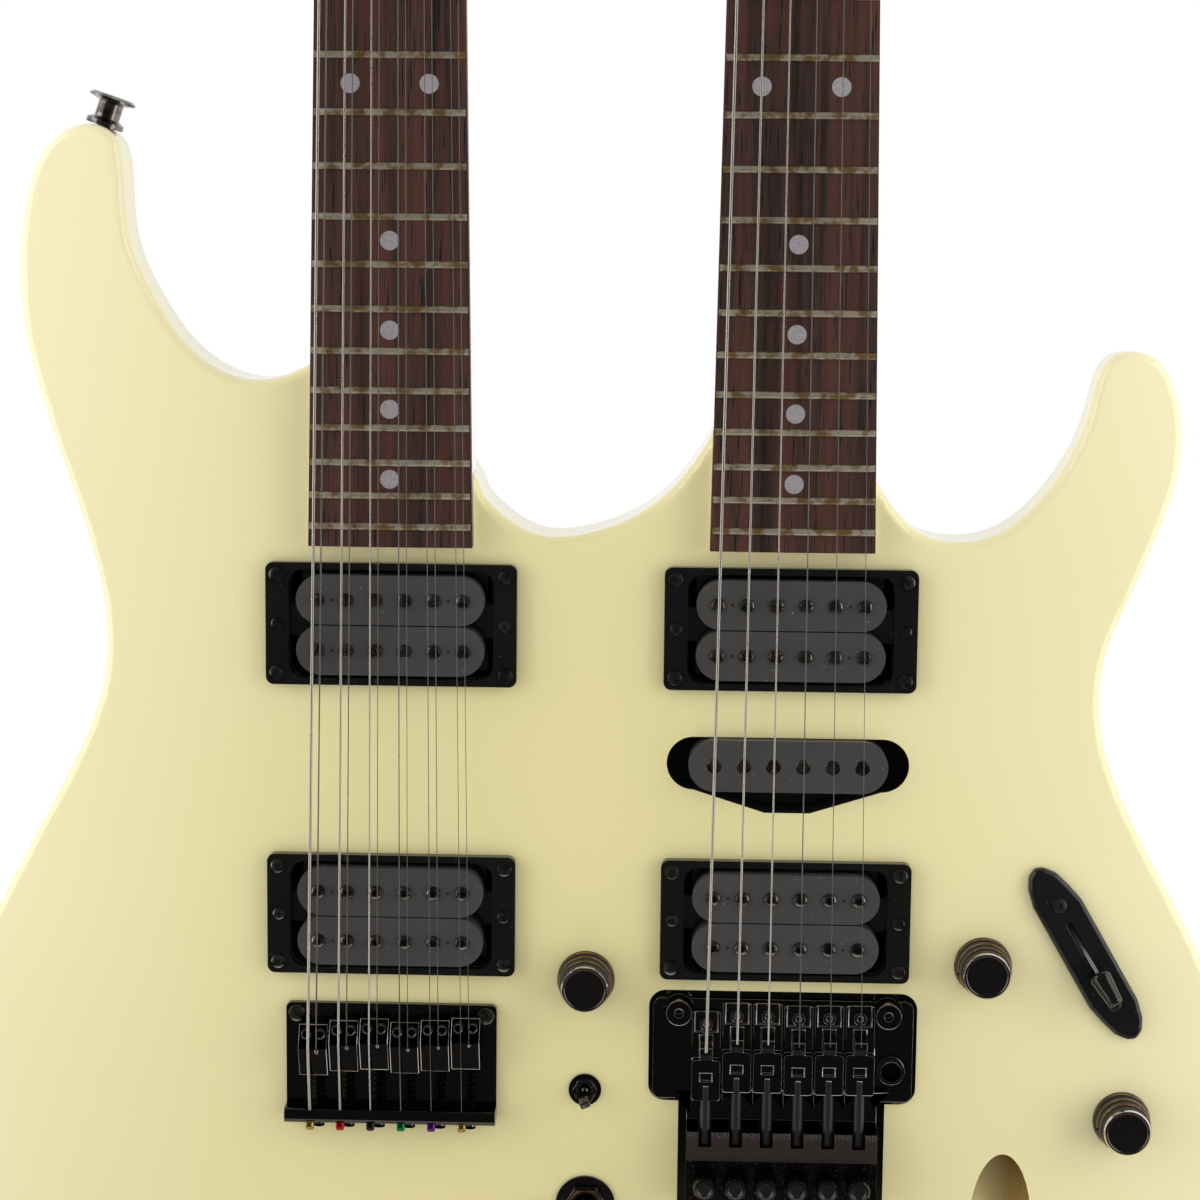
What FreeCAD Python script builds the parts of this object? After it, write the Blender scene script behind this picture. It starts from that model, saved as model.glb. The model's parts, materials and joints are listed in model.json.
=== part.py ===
"""Double-neck electric guitar: a twelve-string neck and a six-string neck on one thin carved body.

Millimetres. +X runs from the upper horn to the lower horn, +Z runs up along the necks, and the
strings face -Y. The origin is the seat of the end strap button, at the body's bottom end.
"""
import FreeCAD, Part
import math
import os
import Sketcher
from FreeCAD import Placement, Rotation, Vector

os.makedirs("parts", exist_ok=True)
doc = FreeCAD.newDocument("double_neck_guitar")

# Driving dimensions, one cell of the sheet each
SIZES = {
    # Layout
    "scale_length": 648.0, "neck_spacing": 140.3, "saddle_rise": 146.0, "fret_count": 22,
    "overrun": 1.0, "slip": 0.05, "seat_gap": 0.3,
    # Body blank
    "body_width": 462.0, "body_length": 466.0, "body_thick": 40.0,
    "front_flat_half": 105.0, "front_carve_radius": 1000.0,
    "back_flat_half": 80.0, "back_fall_width": 74.0, "back_fall_radius": 260.0,
    "section_half": 236.0, "front_round": 3.5, "back_round": 4.5,
    # Necks
    "nut_width": 43.4, "heel_width": 57.3, "board_length": 473.4, "board_thick": 6.0,
    "board_proud": 8.0, "board_radius": 430.0, "pocket_depth": 16.0, "pocket_slip": 0.1,
    "nut_end_depth": 14.0, "heel_depth": 16.5, "heel_block_rise": 76.0, "heel_curve": 24.0,
    "truss_radius": 3.0, "truss_inset": 22.0, "truss_depth": 7.0,
    # Frets and inlays
    "fret_width": 2.4, "fret_height": 1.1, "fret_end_inset": 0.4, "dot_radius": 3.3,
    "dot_depth": 2.0, "double_dot_spread": 27.0,
    # Headstocks
    "head_thick": 14.0, "head_tilt": 13.0, "head_edge_round": 1.5,
    "twelve_head_length": 196.0, "twelve_head_half": 38.0, "twelve_post_first": 30.0,
    "twelve_post_pitch": 29.0, "twelve_post_offset": 21.0,
    "six_head_length": 182.0, "six_head_left": 29.0, "six_head_right": 27.0,
    "six_post_first": 30.0, "six_post_pitch": 26.0, "six_post_offset": 16.5,
    # Tuning machines
    "post_radius": 3.0, "post_height": 9.0, "bushing_radius": 5.2, "bushing_height": 1.4,
    "housing_width": 15.0, "housing_length": 18.0, "housing_depth": 11.0, "housing_round": 3.0,
    "key_shaft_radius": 1.6, "key_shaft_reach": 12.0, "key_insertion": 4.0,
    "key_length": 18.0, "key_height": 13.0, "key_thick": 6.4,
    # Nuts
    "nut_length": 5.0, "nut_rise": 8.8, "lock_nut_length": 16.0,
    "clamp_length": 12.0, "clamp_width": 12.8, "clamp_thick": 4.2, "clamp_pitch": 14.0,
    "clamp_bolt_radius": 2.6, "clamp_bolt_proud": 1.2,
    # Strings
    "string_rise_nut": 1.7, "string_rise_saddle": 4.8, "course_pitch_nut": 7.35,
    "course_pitch_saddle": 10.9, "pair_gap_nut": 2.3, "pair_gap_saddle": 2.9,
    "string_pitch_nut": 7.48, "string_pitch_saddle": 10.94, "heaviest_string": 1.07,
    # Pickups
    "ring_width": 88.6, "ring_length": 43.4, "ring_thick": 4.0, "ring_corner": 2.8,
    "ring_open_width": 72.0, "ring_open_length": 38.4, "ring_open_corner": 5.0,
    "neck_ring_rise": 146.8, "bridge_ring_rise": 42.3, "ring_screw_inset_x": 3.9,
    "ring_screw_inset_z": 3.0, "height_screw_offset": 40.1,
    "coil_length": 66.2, "coil_width": 17.5, "coil_gap": 0.4, "coil_proud": 7.0, "coil_depth": 16.0,
    "base_thick": 1.6, "ear_width": 12.0, "ear_reach": 42.6, "ear_corner": 0.8, "route_depth": 21.0,
    "pole_radius": 2.4, "pole_pitch": 10.25, "pole_proud": 0.5, "pole_depth": 10.0,
    "single_rise": 98.4, "single_length": 70.2, "single_width": 19.0, "single_proud": 5.0,
    "single_route_length": 85.6, "single_route_depth": 18.0, "single_bulge": 8.0,
    "single_bulge_flat": 16.0, "rod_radius": 2.6, "rod_pitch": 10.4,
    # Fixed bridge
    "bridge_width": 75.7, "bridge_front": 9.4, "bridge_rear": 33.4, "bridge_base": 2.6,
    "bridge_wall": 5.6, "bridge_wall_height": 9.5, "string_hole_rise": 7.6, "bridge_corner": 2.0,
    "bridge_screw_head": 3.1, "bridge_screw_inset": 3.9, "pair_saddle_width": 10.2,
    "pair_saddle_front": 6.2, "pair_saddle_rear": 12.6, "pair_crest_drop": 1.8,
    "pair_step": 3.2, "pair_string_dive": 4.0, "saddle_lift": 1.3,
    "saddle_screw_radius": 1.5, "saddle_screw_spread": 5.2, "intonation_radius": 1.1,
    "intonation_head": 2.0, "intonation_head_height": 1.6,
    "intonation_height": 2.7, "spring_wire": 0.6, "spring_radius": 1.8, "spring_curls": 6,
    # Tremolo
    "tremolo_half": 46.4, "tremolo_front": 13.4, "tremolo_shoulder": 23.5, "tail_half": 34.0,
    "tail_end": 61.5, "plate_thick": 3.0, "plate_proud": 2.0, "pivot_rise": 9.5,
    "stud_spread": 74.4, "stud_head_radius": 4.6, "stud_head_height": 5.5, "stud_waist": 3.0,
    "stud_notch": 5.4, "anchor_radius": 5.5, "anchor_depth": 16.0,
    "recess_clear": 1.5, "recess_front": 15.8, "recess_tail_clear": 3.0, "recess_tail_end": 76.0,
    "recess_depth": 9.0, "recess_corner": 6.0,
    "tail_front": 33.2, "tail_slope": 2.2, "tail_height": 8.5, "tail_round": 2.0,
    "lock_slot_width": 4.6, "lock_slot_length": 5.4, "arm_offset": 38.8, "arm_drop": 11.6, "arm_bore": 3.7,
    "arm_wall": 1.0, "arm_length": 9.0, "lock_saddle_width": 10.3, "lock_saddle_front": 12.6,
    "lock_saddle_rear": 19.0, "lock_saddle_tongue": 3.4, "lock_step": 3.2, "lock_rail": 1.1,
    "lock_channel": 1.2, "lock_crest_width": 4.6, "lock_fork": 4.2, "lock_hole_width": 4.4,
    "lock_hole_length": 3.0, "lock_hole_depth": 1.6, "lock_hole_rise": 7.0,
    "hold_screw_rise": 8.0, "hold_screw_head": 2.3, "hold_screw_height": 1.5,
    "hold_screw_key": 1.1, "lock_screw_radius": 1.9,
     "lock_screw_height": 5.0, "fine_rise": 51.8,
    "fine_head_radius": 4.1, "fine_head_height": 7.0, "fine_screw_radius": 1.9,
    "fine_screw_length": 4.5, "fine_lift": 0.4,
    "block_half": 30.0, "block_front": 9.0, "block_thick": 13.0, "block_depth": 31.0,
    "block_room_front": 3.0, "block_room_rear": 36.0, "block_room_side": 2.0,
    "spring_room_half": 28.0, "spring_room_top": 119.0, "spring_room_depth": 16.0,
    "tremolo_spring_radius": 3.6, "tremolo_spring_pitch": 16.0, "claw_rise": 104.0,
    "claw_thick": 3.0, "claw_height": 11.0, "claw_half": 26.0, "claw_screw_radius": 2.2,
    "claw_screw_spread": 34.0, "claw_screw_bite": 14.0,
    # Knobs and their potentiometers
    "knob_skirt": 11.2, "knob_lip": 10.4, "knob_waist": 9.2, "knob_cap": 8.6, "knob_height": 14.5,
    "knob_skirt_height": 2.2, "knob_ridge_pitch": 1.9, "knob_lift": 0.4, "knob_bore_depth": 10.0,
    "pot_shaft_radius": 3.0, "pot_bushing_radius": 3.8, "pot_radius": 8.2, "pot_height": 7.0,
    "pot_wall": 4.5, "pot_room": 8.8,
    "twelve_knob_x": -0.5, "twelve_knob_z": 19.2, "six_volume_x": 140.9, "six_volume_z": 26.6,
    "six_tone_x": 192.3, "six_tone_z": -30.2,
    # Mini toggle and neck selector
    "toggle_x": -0.5, "toggle_z": -21.6, "toggle_bushing": 3.0, "toggle_washer": 5.9,
    "toggle_washer_thick": 0.8, "toggle_nut": 4.3, "toggle_nut_thick": 2.0, "toggle_ball": 1.7,
    "toggle_reach": 11.5, "toggle_tip": 1.7, "toggle_neck": 0.9, "toggle_lean": 12.0,
    "toggle_housing": 8.5, "toggle_housing_length": 13.0, "toggle_housing_depth": 11.0,
    "selector_x": 0.0, "selector_z": -64.6, "selector_bushing": 5.8, "selector_washer": 10.8,
    "selector_washer_thick": 1.0, "selector_nut": 7.5, "selector_nut_thick": 3.0,
    "selector_ball": 3.6, "selector_reach": 20.0, "selector_tip": 3.4, "selector_neck": 1.8,
    "selector_lean": 12.0, "selector_housing": 16.0, "selector_housing_length": 24.0,
    "selector_housing_depth": 14.0, "front_wall": 6.0,
    # Blade switch
    "blade_x": 177.3, "blade_z": 31.4, "blade_turn": 30.0, "blade_cover_half": 36.5,
    "blade_cover_width": 17.0, "blade_cover_thick": 3.2, "blade_cover_round": 1.9,
    "blade_cover_corner": 2.6, "blade_slot_half": 13.3, "blade_slot_width": 2.4, "blade_screw_offset": 20.8,
    "blade_thick": 1.2, "blade_width": 2.6, "blade_reach": 27.0, "blade_tip_half": 6.5,
    "blade_tip_radius": 4.2, "blade_tip_end": 2.6, "blade_pivot_depth": 5.0,
    "blade_pivot_rise": 10.0, "blade_lean": 56.0,
    "blade_housing_half": 17.0, "blade_housing_width": 9.0, "blade_housing_depth": 10.0,
    "blade_pin": 1.0, "jack_nut_turn": 10.0,
    "winding_share": 0.6, "ball_mouth_share": 0.8, "tip_wide_share": 0.7, "tip_end_share": 0.3,
    "button_cone_share": 0.6, "flange_low_share": 0.6, "flange_high_share": 0.3,
    "fine_top_share": 0.8,
    # Output jack and its scoop
    "scoop_x": 149.6, "scoop_z": -44.2, "scoop_radius": 11.4, "scoop_tilt": 24.0,
    "scoop_sink": 12.0, "scoop_length": 70.0, "jack_radius": 5.4, "jack_length": 25.0,
    "jack_bore": 3.25, "jack_bore_depth": 20.0, "jack_nut": 7.2, "jack_nut_thick": 1.8,
    # Strap buttons
    "button_base": 6.6, "button_base_height": 3.0, "button_neck": 4.4, "button_height": 11.0,
    "button_flange": 8.15, "button_flange_thick": 2.6, "button_lean": 19.0,
    "horn_button_y": -7.0,
    "button_screw": 2.2, "button_screw_head": 3.6, "button_sink": 1.6, "button_screw_length": 26.0,
    # Back covers
    "cover_thick": 2.2, "cover_slip": 0.2, "cover_corner": 6.0, "ledge": 7.0, "cover_screw_inset": 3.7,
    "spring_cover_low": 42.0, "centre_room_half": 16.0, "centre_room_low": 86.0,
    "centre_room_high": 34.0, "side_room_front": 8.0,
    # Screws and neck bolts
    "screw_head": 2.6, "screw_head_height": 1.0, "screw_shank": 1.3, "screw_length": 9.0,
    "bolt_radius": 2.4, "ferrule_radius": 5.0, "ferrule_thick": 2.0, "bolt_length": 34.0,
}

sheet = doc.addObject("Spreadsheet::Sheet", "size")
for row, (alias, amount) in enumerate(SIZES.items(), 1):
    sheet.set(f"A{row}", alias)
    sheet.set(f"B{row}", str(amount))
    sheet.setAlias(f"B{row}", alias)
doc.recompute()


class SheetReader:
    """Gives each named size of the sheet as a number."""

    def __getattr__(self, alias):
        return float(sheet.get(alias))


size = SheetReader()
X, Y, Z = Vector(1, 0, 0), Vector(0, 1, 0), Vector(0, 0, 1)
ORIGIN = Vector(0, 0, 0)
nodes = {}

# Levels and lines that several pieces share
NECKS = {"twelve": -size.neck_spacing / 2, "six": size.neck_spacing / 2}
face_y = -size.body_thick / 2
back_y = size.body_thick / 2
board_y = face_y - size.board_proud
neck_top_y = board_y + size.board_thick
saddle_z = size.saddle_rise
nut_z = saddle_z + size.scale_length
heel_z = nut_z - size.board_length
pocket_floor_y = face_y + size.pocket_depth

# The same levels for expressions, as the sheet writes them
FACE = "(-size.body_thick / 2)"


# Helpers that add objects to the document

def keep(node, obj):
    """Names an object as a finished sub-part."""
    obj.Label = node
    nodes[node] = obj
    return obj


def bind_place(obj, x="0", y="0", z="0", turn=None):
    """Places an object by expressions, with an optional fixed turn."""
    obj.Placement = Placement(ORIGIN, turn or Rotation())
    for axis, expression in (("x", x), ("y", y), ("z", z)):
        obj.setExpression(f"Placement.Base.{axis}", expression)
    return obj


def box(name, length, width, height, x, y, z):
    obj = doc.addObject("Part::Box", name)
    for side, expression in (("Length", length), ("Width", width), ("Height", height)):
        obj.setExpression(side, expression)
    return bind_place(obj, x, y, z)


def cylinder(name, radius, height, x, y, z, turn=None):
    obj = doc.addObject("Part::Cylinder", name)
    obj.setExpression("Radius", radius)
    obj.setExpression("Height", height)
    return bind_place(obj, x, y, z, turn)


def fuse(name, parts):
    obj = doc.addObject("Part::MultiFuse", name)
    obj.Shapes = parts
    return obj


def cut(name, base, tool):
    obj = doc.addObject("Part::Cut", name)
    obj.Base = base
    obj.Tool = tool
    return obj


def shaped(name, shape):
    """A sub-part whose form comes from the sheet's values in code."""
    obj = doc.addObject("Part::Feature", name)
    obj.Shape = shape
    return obj


def group(name, shapes):
    """Separate alike solids under one name."""
    return shaped(name, Part.makeCompound([solid for shape in shapes for solid in shape.Solids]))


def new_body(name):
    return doc.addObject("PartDesign::Body", name)


def sketch_on(body, role, name):
    sketch = body.newObject("Sketcher::SketchObject", name)
    plane = next(f for f in body.Origin.OriginFeatures if f.Role == role)
    sketch.AttachmentSupport = [(plane, "")]
    sketch.MapMode = "FlatFace"
    return sketch


def polygon(sketch, corners):
    """A closed outline of straight sides whose corners are bound to expressions."""
    values = [[float(sheet.evalExpression(c)) for c in corner] for corner in corners]
    points = [Vector(x, y, 0) for x, y in values]
    for here, there in zip(points, points[1:] + points[:1]):
        sketch.addGeometry(Part.LineSegment(here, there), False)
    count = len(points)
    for i in range(count):
        sketch.addConstraint(Sketcher.Constraint("Coincident", i, 2, (i + 1) % count, 1))
    for i, corner in enumerate(corners):
        for kind, expression, amount in zip(("DistanceX", "DistanceY"), corner, values[i]):
            if expression == "0":
                line = -2 if kind == "DistanceX" else -1
                sketch.addConstraint(Sketcher.Constraint("PointOnObject", i, 1, line))
                continue
            index = sketch.addConstraint(Sketcher.Constraint(kind, -1, 1, i, 1, amount))
            sketch.setExpression(f"Constraints[{index}]", expression)


def turned(name, profile, x="0", y="0", z="0", turn=None):
    """A piece turned about its own Z axis from (radius, height) corners."""
    body = new_body(name)
    sketch = sketch_on(body, "XZ_Plane", name + "_profile")
    polygon(sketch, profile)
    spin = body.newObject("PartDesign::Revolution", name + "_turning")
    spin.Profile = sketch
    spin.ReferenceAxis = (sketch, ["V_Axis"])
    spin.Angle = 360
    return bind_place(body, x, y, z, turn)


def plate(name, corners, thick, x="0", y="0", z="0", turn=None, corner_round=None):
    """A flat piece in the XZ plane; its front is at y, and its thickness runs towards +Y."""
    body = new_body(name)
    sketch = sketch_on(body, "XZ_Plane", name + "_outline")
    polygon(sketch, corners)
    pad = body.newObject("PartDesign::Pad", name + "_pad")
    pad.Profile = sketch
    pad.Reversed = True
    pad.setExpression("Length", thick)
    if corner_round:
        doc.recompute()
        upright = [f"Edge{i}" for i, e in enumerate(pad.Shape.Edges, 1) if runs_along(e, Y)]
        soften = body.newObject("PartDesign::Fillet", name + "_corners")
        soften.Base = (pad, upright)
        soften.setExpression("Radius", corner_round)
    return bind_place(body, x, y, z, turn)


def rectangle(half_width, low, high):
    """Corners of a rectangle that is centred in X, as expressions."""
    return [(f"-({half_width})", low), (half_width, low), (half_width, high),
            (f"-({half_width})", high)]


# Helpers that make or read plain shapes

def runs_along(edge, direction):
    if edge.Curve.TypeId != "Part::GeomLine":
        return False
    along = (edge.Vertexes[-1].Point - edge.Vertexes[0].Point).normalize()
    return abs(along.dot(direction)) > math.cos(math.radians(1))


def block(x_low, x_high, y_low, y_high, z_low, z_high):
    corner = Vector(x_low, y_low, z_low)
    return Part.makeBox(x_high - x_low, y_high - y_low, z_high - z_low, corner)


def rod(radius, start, end):
    return Part.makeCylinder(radius, (end - start).Length, start, end - start)


def rounded(shape, radius, direction):
    return shape.makeFillet(radius, [e for e in shape.Edges if runs_along(e, direction)])


def stadium(length, width, depth, centre):
    """A slot-shaped block, long in X, whose front face's middle is the centre."""
    half = (length - width) / 2
    middle = block(-half, half, 0, depth, -width / 2, width / 2)
    ends = [rod(width / 2, Vector(s * half, 0, 0), Vector(s * half, depth, 0)) for s in (-1, 1)]
    shape = middle.fuse(ends).removeSplitter()
    shape.translate(centre)
    return shape


def prism(points, thick):
    """A block on an outline in the XZ plane, from y = 0 towards +Y."""
    return Part.Face(Part.makePolygon(points + points[:1])).extrude(Y * thick)


def compound_cut(shape, tools):
    return shape.cut(Part.makeCompound(tools)) if tools else shape


# The fingerboard's taper and the frets' places

def neck_half_width(distance):
    """Half the neck's width at a distance from the nut."""
    spread = (size.heel_width - size.nut_width) * distance / size.board_length
    return (size.nut_width + spread) / 2


def fret_distance(number):
    return size.scale_length * (1 - 2 ** (-number / 12))


def front_surface_y(x):
    """The front face's level, flat in the middle and falling away to the sides."""
    past = max(abs(x) - size.front_flat_half, 0)
    radius = size.front_carve_radius
    return face_y + radius - math.sqrt(radius ** 2 - past ** 2)


def front_slope(x):
    """The front face's lean at a place, in degrees."""
    past = max(abs(x) - size.front_flat_half, 0)
    return math.degrees(math.asin(past / size.front_carve_radius)) * (1 if x > 0 else -1)


def fall_depth(reach):
    return size.back_fall_radius - math.sqrt(size.back_fall_radius ** 2 - reach ** 2)


def back_surface_y(x):
    """The back's level: flat, then an S-shaped fall towards the thin edge."""
    past = abs(x) - size.back_flat_half
    width = size.back_fall_width
    full = 2 * fall_depth(width)
    if past <= 0:
        return back_y
    if past <= width:
        return back_y - fall_depth(past)
    if past <= 2 * width:
        return back_y - full + fall_depth(2 * width - past)
    return back_y - full


def section_face(inset=0.0):
    """The body's cross-section in the XY plane, its back brought in by an inset."""
    flat, back_flat, half = size.front_flat_half, size.back_flat_half, size.section_half
    bend = back_flat + size.back_fall_width
    level = bend + size.back_fall_width

    def front(x):
        return Vector(x, front_surface_y(x), 0)

    def back(x):
        return Vector(x, back_surface_y(x) - inset, 0)

    def arc(surface, start, end):
        return Part.Arc(surface(start), surface((start + end) / 2), surface(end)).toShape()

    def line(start, end):
        return Part.LineSegment(start, end).toShape()

    edges = [line(front(-flat), front(flat)), line(back(-back_flat), back(back_flat))]
    for side in (-1, 1):
        edges += [arc(front, side * flat, side * half), arc(back, side * back_flat, side * bend),
                  arc(back, side * bend, side * level), line(back(side * level), back(side * half)),
                  line(front(side * half), back(side * half))]
    return Part.Face(Part.Wire(Part.__sortEdges__(edges)))


# Outline of the body as shares of its width and length, seen from the front.
# It runs from the twelve-string neck round the upper horn, the tail and the lower horn.
HORN_SIDE_SHARES = [
    (-0.211, 0.826), (-0.228, 0.817), (-0.253, 0.811), (-0.282, 0.817), (-0.313, 0.841),
    (-0.334, 0.873), (-0.350, 0.909), (-0.355, 0.944), (-0.356, 0.970), (-0.360, 0.987),
    (-0.368, 0.996), (-0.382, 1.000), (-0.399, 0.996), (-0.419, 0.977), (-0.432, 0.940),
    (-0.437, 0.893), (-0.435, 0.855), (-0.422, 0.797), (-0.400, 0.731), (-0.380, 0.666),
    (-0.373, 0.612), (-0.379, 0.568), (-0.397, 0.524), (-0.424, 0.473), (-0.462, 0.403),
    (-0.491, 0.328), (-0.502, 0.247), (-0.496, 0.167), (-0.465, 0.090), (-0.405, 0.036),
    (-0.314, 0.011), (-0.162, 0.002), (0.000, 0.000), (0.162, 0.002), (0.316, 0.011),
    (0.407, 0.039), (0.468, 0.094), (0.499, 0.172), (0.504, 0.253), (0.492, 0.328),
    (0.472, 0.382), (0.440, 0.440), (0.416, 0.485), (0.398, 0.526), (0.389, 0.573),
    (0.393, 0.611), (0.411, 0.657), (0.429, 0.701), (0.443, 0.746), (0.445, 0.782),
    (0.439, 0.810), (0.424, 0.833), (0.405, 0.839), (0.390, 0.835), (0.380, 0.819),
    (0.374, 0.793), (0.360, 0.758), (0.338, 0.726), (0.309, 0.702), (0.279, 0.695),
    (0.248, 0.702), (0.225, 0.725), (0.215, 0.740)]
SIX_HEEL_SHARES = [(0.215, 0.740), (0.158, 0.779), (0.091, 0.776)]
VALLEY_SHARES = [
    (0.091, 0.776), (0.077, 0.753), (0.052, 0.725), (0.021, 0.706), (-0.009, 0.697),
    (-0.024, 0.695), (-0.039, 0.696), (-0.070, 0.713), (-0.081, 0.724), (-0.087, 0.737)]
TWELVE_HEEL_SHARES = [(-0.087, 0.737), (-0.139, 0.796), (-0.211, 0.826)]


# Outline points that one run of the smooth outline spans
RUN_POINTS = 6


def outline_curves(width, length):
    """The body's closed outline in the XZ plane, as short runs of smooth curves."""
    runs = []
    for shares in (HORN_SIDE_SHARES, SIX_HEEL_SHARES, VALLEY_SHARES, TWELVE_HEEL_SHARES):
        points = [Vector(x * width, 0, z * length) for x, z in shares]
        curve = Part.BSplineCurve()
        curve.interpolate(points)
        last = len(points) - 1
        count = max(1, round(last / RUN_POINTS))
        ends = [curve.parameter(points[round(i * last / count)]) for i in range(count + 1)]
        for start, end in zip(ends, ends[1:]):
            run = curve.copy()
            run.segment(start, end)
            runs.append(run)
    return runs


# Body blank: the carved section run up the length, held within the outline

stock = new_body("carved_stock")
section = sketch_on(stock, "XY_Plane", "carved_section")
section.AttachmentOffset = Placement(Z * -size.overrun, Rotation())
for edge in section_face().Edges:
    start, end = edge.FirstParameter, edge.LastParameter
    if edge.Curve.TypeId == "Part::GeomLine":
        section.addGeometry(Part.LineSegment(edge.valueAt(start), edge.valueAt(end)), False)
    else:
        points = [edge.valueAt(p) for p in (start, (start + end) / 2, end)]
        section.addGeometry(Part.Arc(*points), False)
run_up = stock.newObject("PartDesign::Pad", "section_run")
run_up.Profile = section
run_up.setExpression("Length", "size.body_length + 2 * size.overrun")

outline_face = Part.Face(Part.Wire([c.toShape() for c in
                                    outline_curves(size.body_width, size.body_length)]))
outline_face.translate(Y * -size.body_thick)
outline_block = shaped("outline_block", outline_face.extrude(Y * 2 * size.body_thick))

doc.recompute()


def rim_edges(shape, front):
    """The edges where a broad face of the blank meets its side wall."""
    edges = []
    for edge in shape.Edges:
        middle = edge.valueAt((edge.FirstParameter + edge.LastParameter) / 2)
        level = front_surface_y(middle.x) if front else back_surface_y(middle.x)
        on_face = abs(middle.y - level) < size.overrun / 10
        if on_face and not runs_along(edge, Z) and not runs_along(edge, Y):
            edges.append(edge)
    return edges


rounded_blank = stock.Shape.common(outline_block.Shape).Solids[0]
for front, radius in ((True, size.front_round), (False, size.back_round)):
    rounded_blank = rounded_blank.makeFillet(radius, rim_edges(rounded_blank, front))
blank = shaped("rounded_blank", rounded_blank)


# Places of screws, each a point on its seat

def ring_centres():
    return [(x, saddle_z + rise) for x in NECKS.values()
            for rise in (size.neck_ring_rise, size.bridge_ring_rise)]


def ring_screw_places():
    half_x = size.ring_width / 2 - size.ring_screw_inset_x
    half_z = size.ring_length / 2 - size.ring_screw_inset_z - size.screw_head / 2
    top = face_y - size.ring_thick
    return [Vector(x + i * half_x, top, z + k * half_z) for x, z in ring_centres()
            for i in (-1, 1) for k in (-1, 1)]


def height_screw_places():
    top = face_y - size.ring_thick
    return [Vector(x + i * size.height_screw_offset, top, z) for x, z in ring_centres()
            for i in (-1, 1)]


def bridge_screw_places():
    half = size.bridge_width / 2 - size.bridge_screw_inset
    top = face_y - size.bridge_base
    front = saddle_z + size.bridge_front - size.bridge_screw_inset
    return [Vector(NECKS["twelve"] + side * half, top, front) for side in (-1, 1)]


# Blade switch: its own frame has X across, Z along the slot and -Y out of the face
blade_normal_turn = Rotation(Z, front_slope(size.blade_x))
blade_turn = blade_normal_turn.multiply(Rotation(Y, -size.blade_turn))
blade_seat = Vector(size.blade_x, front_surface_y(size.blade_x), saddle_z + size.blade_z)
blade_place = Placement(blade_seat, blade_turn)


def blade_screw_places():
    return [blade_place.multVec(Vector(0, -size.blade_cover_thick, s * size.blade_screw_offset))
            for s in (-1, 1)]


# Back covers and the rooms behind them
spring_cover_half = size.block_half + size.block_room_side + size.ledge
tremolo_x = NECKS["six"]
SIDE_ROOM_SHARES = [(0.262, 0.255), (0.262, 0.395), (0.355, 0.470), (0.405, 0.455),
                    (0.448, 0.335), (0.448, 0.215), (0.345, 0.232)]


def side_room_points(grow):
    """The side control room's outline, moved outwards by an amount."""
    points = [Vector(x * size.body_width, 0, z * size.body_length) for x, z in SIDE_ROOM_SHARES]
    middle = sum(points, Vector()) * (1 / len(points))
    return [p + (p - middle).normalize() * grow for p in points]


def cover_band(outline, thick, inset=0.0):
    """A plate that lies in the back's curved surface, inside an outline."""
    low = min(p.z for p in outline) - size.overrun
    high = max(p.z for p in outline) + size.overrun
    outer = section_face(inset).extrude(Z * (high - low))
    inner = section_face(inset + thick).extrude(Z * (high - low))
    skin = outer.cut(inner)
    skin.translate(Z * low)
    stock = prism(outline, size.body_thick)
    return skin.common(rounded(stock, size.cover_corner, Y))


def cover_outlines(grow=0.0):
    """Outlines of the flat spring cover and centre cover and the curved side cover."""
    def flat(x, half, low, high):
        half, low, high = half + grow, low - grow, high + grow
        return [Vector(x - half, 0, low), Vector(x + half, 0, low),
                Vector(x + half, 0, high), Vector(x - half, 0, high)]

    spring = flat(tremolo_x, spring_cover_half, saddle_z - size.spring_cover_low,
                  saddle_z + size.spring_room_top + size.ledge)
    centre = flat(0, size.centre_room_half + size.ledge,
                  saddle_z - size.centre_room_low - size.ledge,
                  saddle_z + size.centre_room_high + size.ledge)
    return [spring, centre, side_room_points(size.ledge + grow)]


def cover_screw_places():
    """Screw seats near the corners of the three back covers."""
    places = []
    for outline in cover_outlines():
        count = len(outline)
        for i in range(0, count, 1 if count == 4 else 2):
            corner = outline[i]
            before = (outline[i - 1] - corner).normalize()
            after = (outline[(i + 1) % count] - corner).normalize()
            half_angle = before.getAngle(after) / 2
            point = corner + (before + after).normalize() * (
                size.cover_screw_inset / math.sin(half_angle))
            level = back_surface_y(point.x) + size.slip
            places.append(Vector(point.x, level, point.z))
    return places


def back_normal(x):
    """The outward direction of the back at a place."""
    step = size.overrun
    rise = back_surface_y(x + step) - back_surface_y(x - step)
    return Vector(-rise, 2 * step, 0).normalize()


# Cavities of the body

def neck_outline(x, slip, low, high):
    """A neck's tapered outline between two heights."""
    corners = []
    for z, sides in ((low, (-1, 1)), (high, (1, -1))):
        half = neck_half_width(nut_z - z) + slip
        corners += [Vector(x + side * half, 0, z) for side in sides]
    return corners


def neck_pocket(x):
    shape = prism(neck_outline(x, size.pocket_slip, heel_z - size.pocket_slip,
                               size.body_length), size.pocket_depth + size.overrun)
    shape.translate(Y * (face_y - size.overrun))
    return shape


def front_block(x, half, z_low, z_high, depth, corner):
    shape = block(x - half, x + half, face_y - size.overrun, face_y + depth, z_low, z_high)
    return rounded(shape, corner, Y)


def pickup_routes():
    tools = []
    for x, z in ring_centres():
        half = size.ring_open_width / 2
        depth = size.route_depth
        tools.append(front_block(x, half, z - size.ring_open_length / 2,
                                 z + size.ring_open_length / 2, depth, size.ring_open_corner))
        ear = size.ear_width / 2 + size.seat_gap
        tools.append(front_block(x, size.ear_reach + size.seat_gap, z - ear, z + ear, depth,
                                 size.ear_corner))
    return tools


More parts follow.
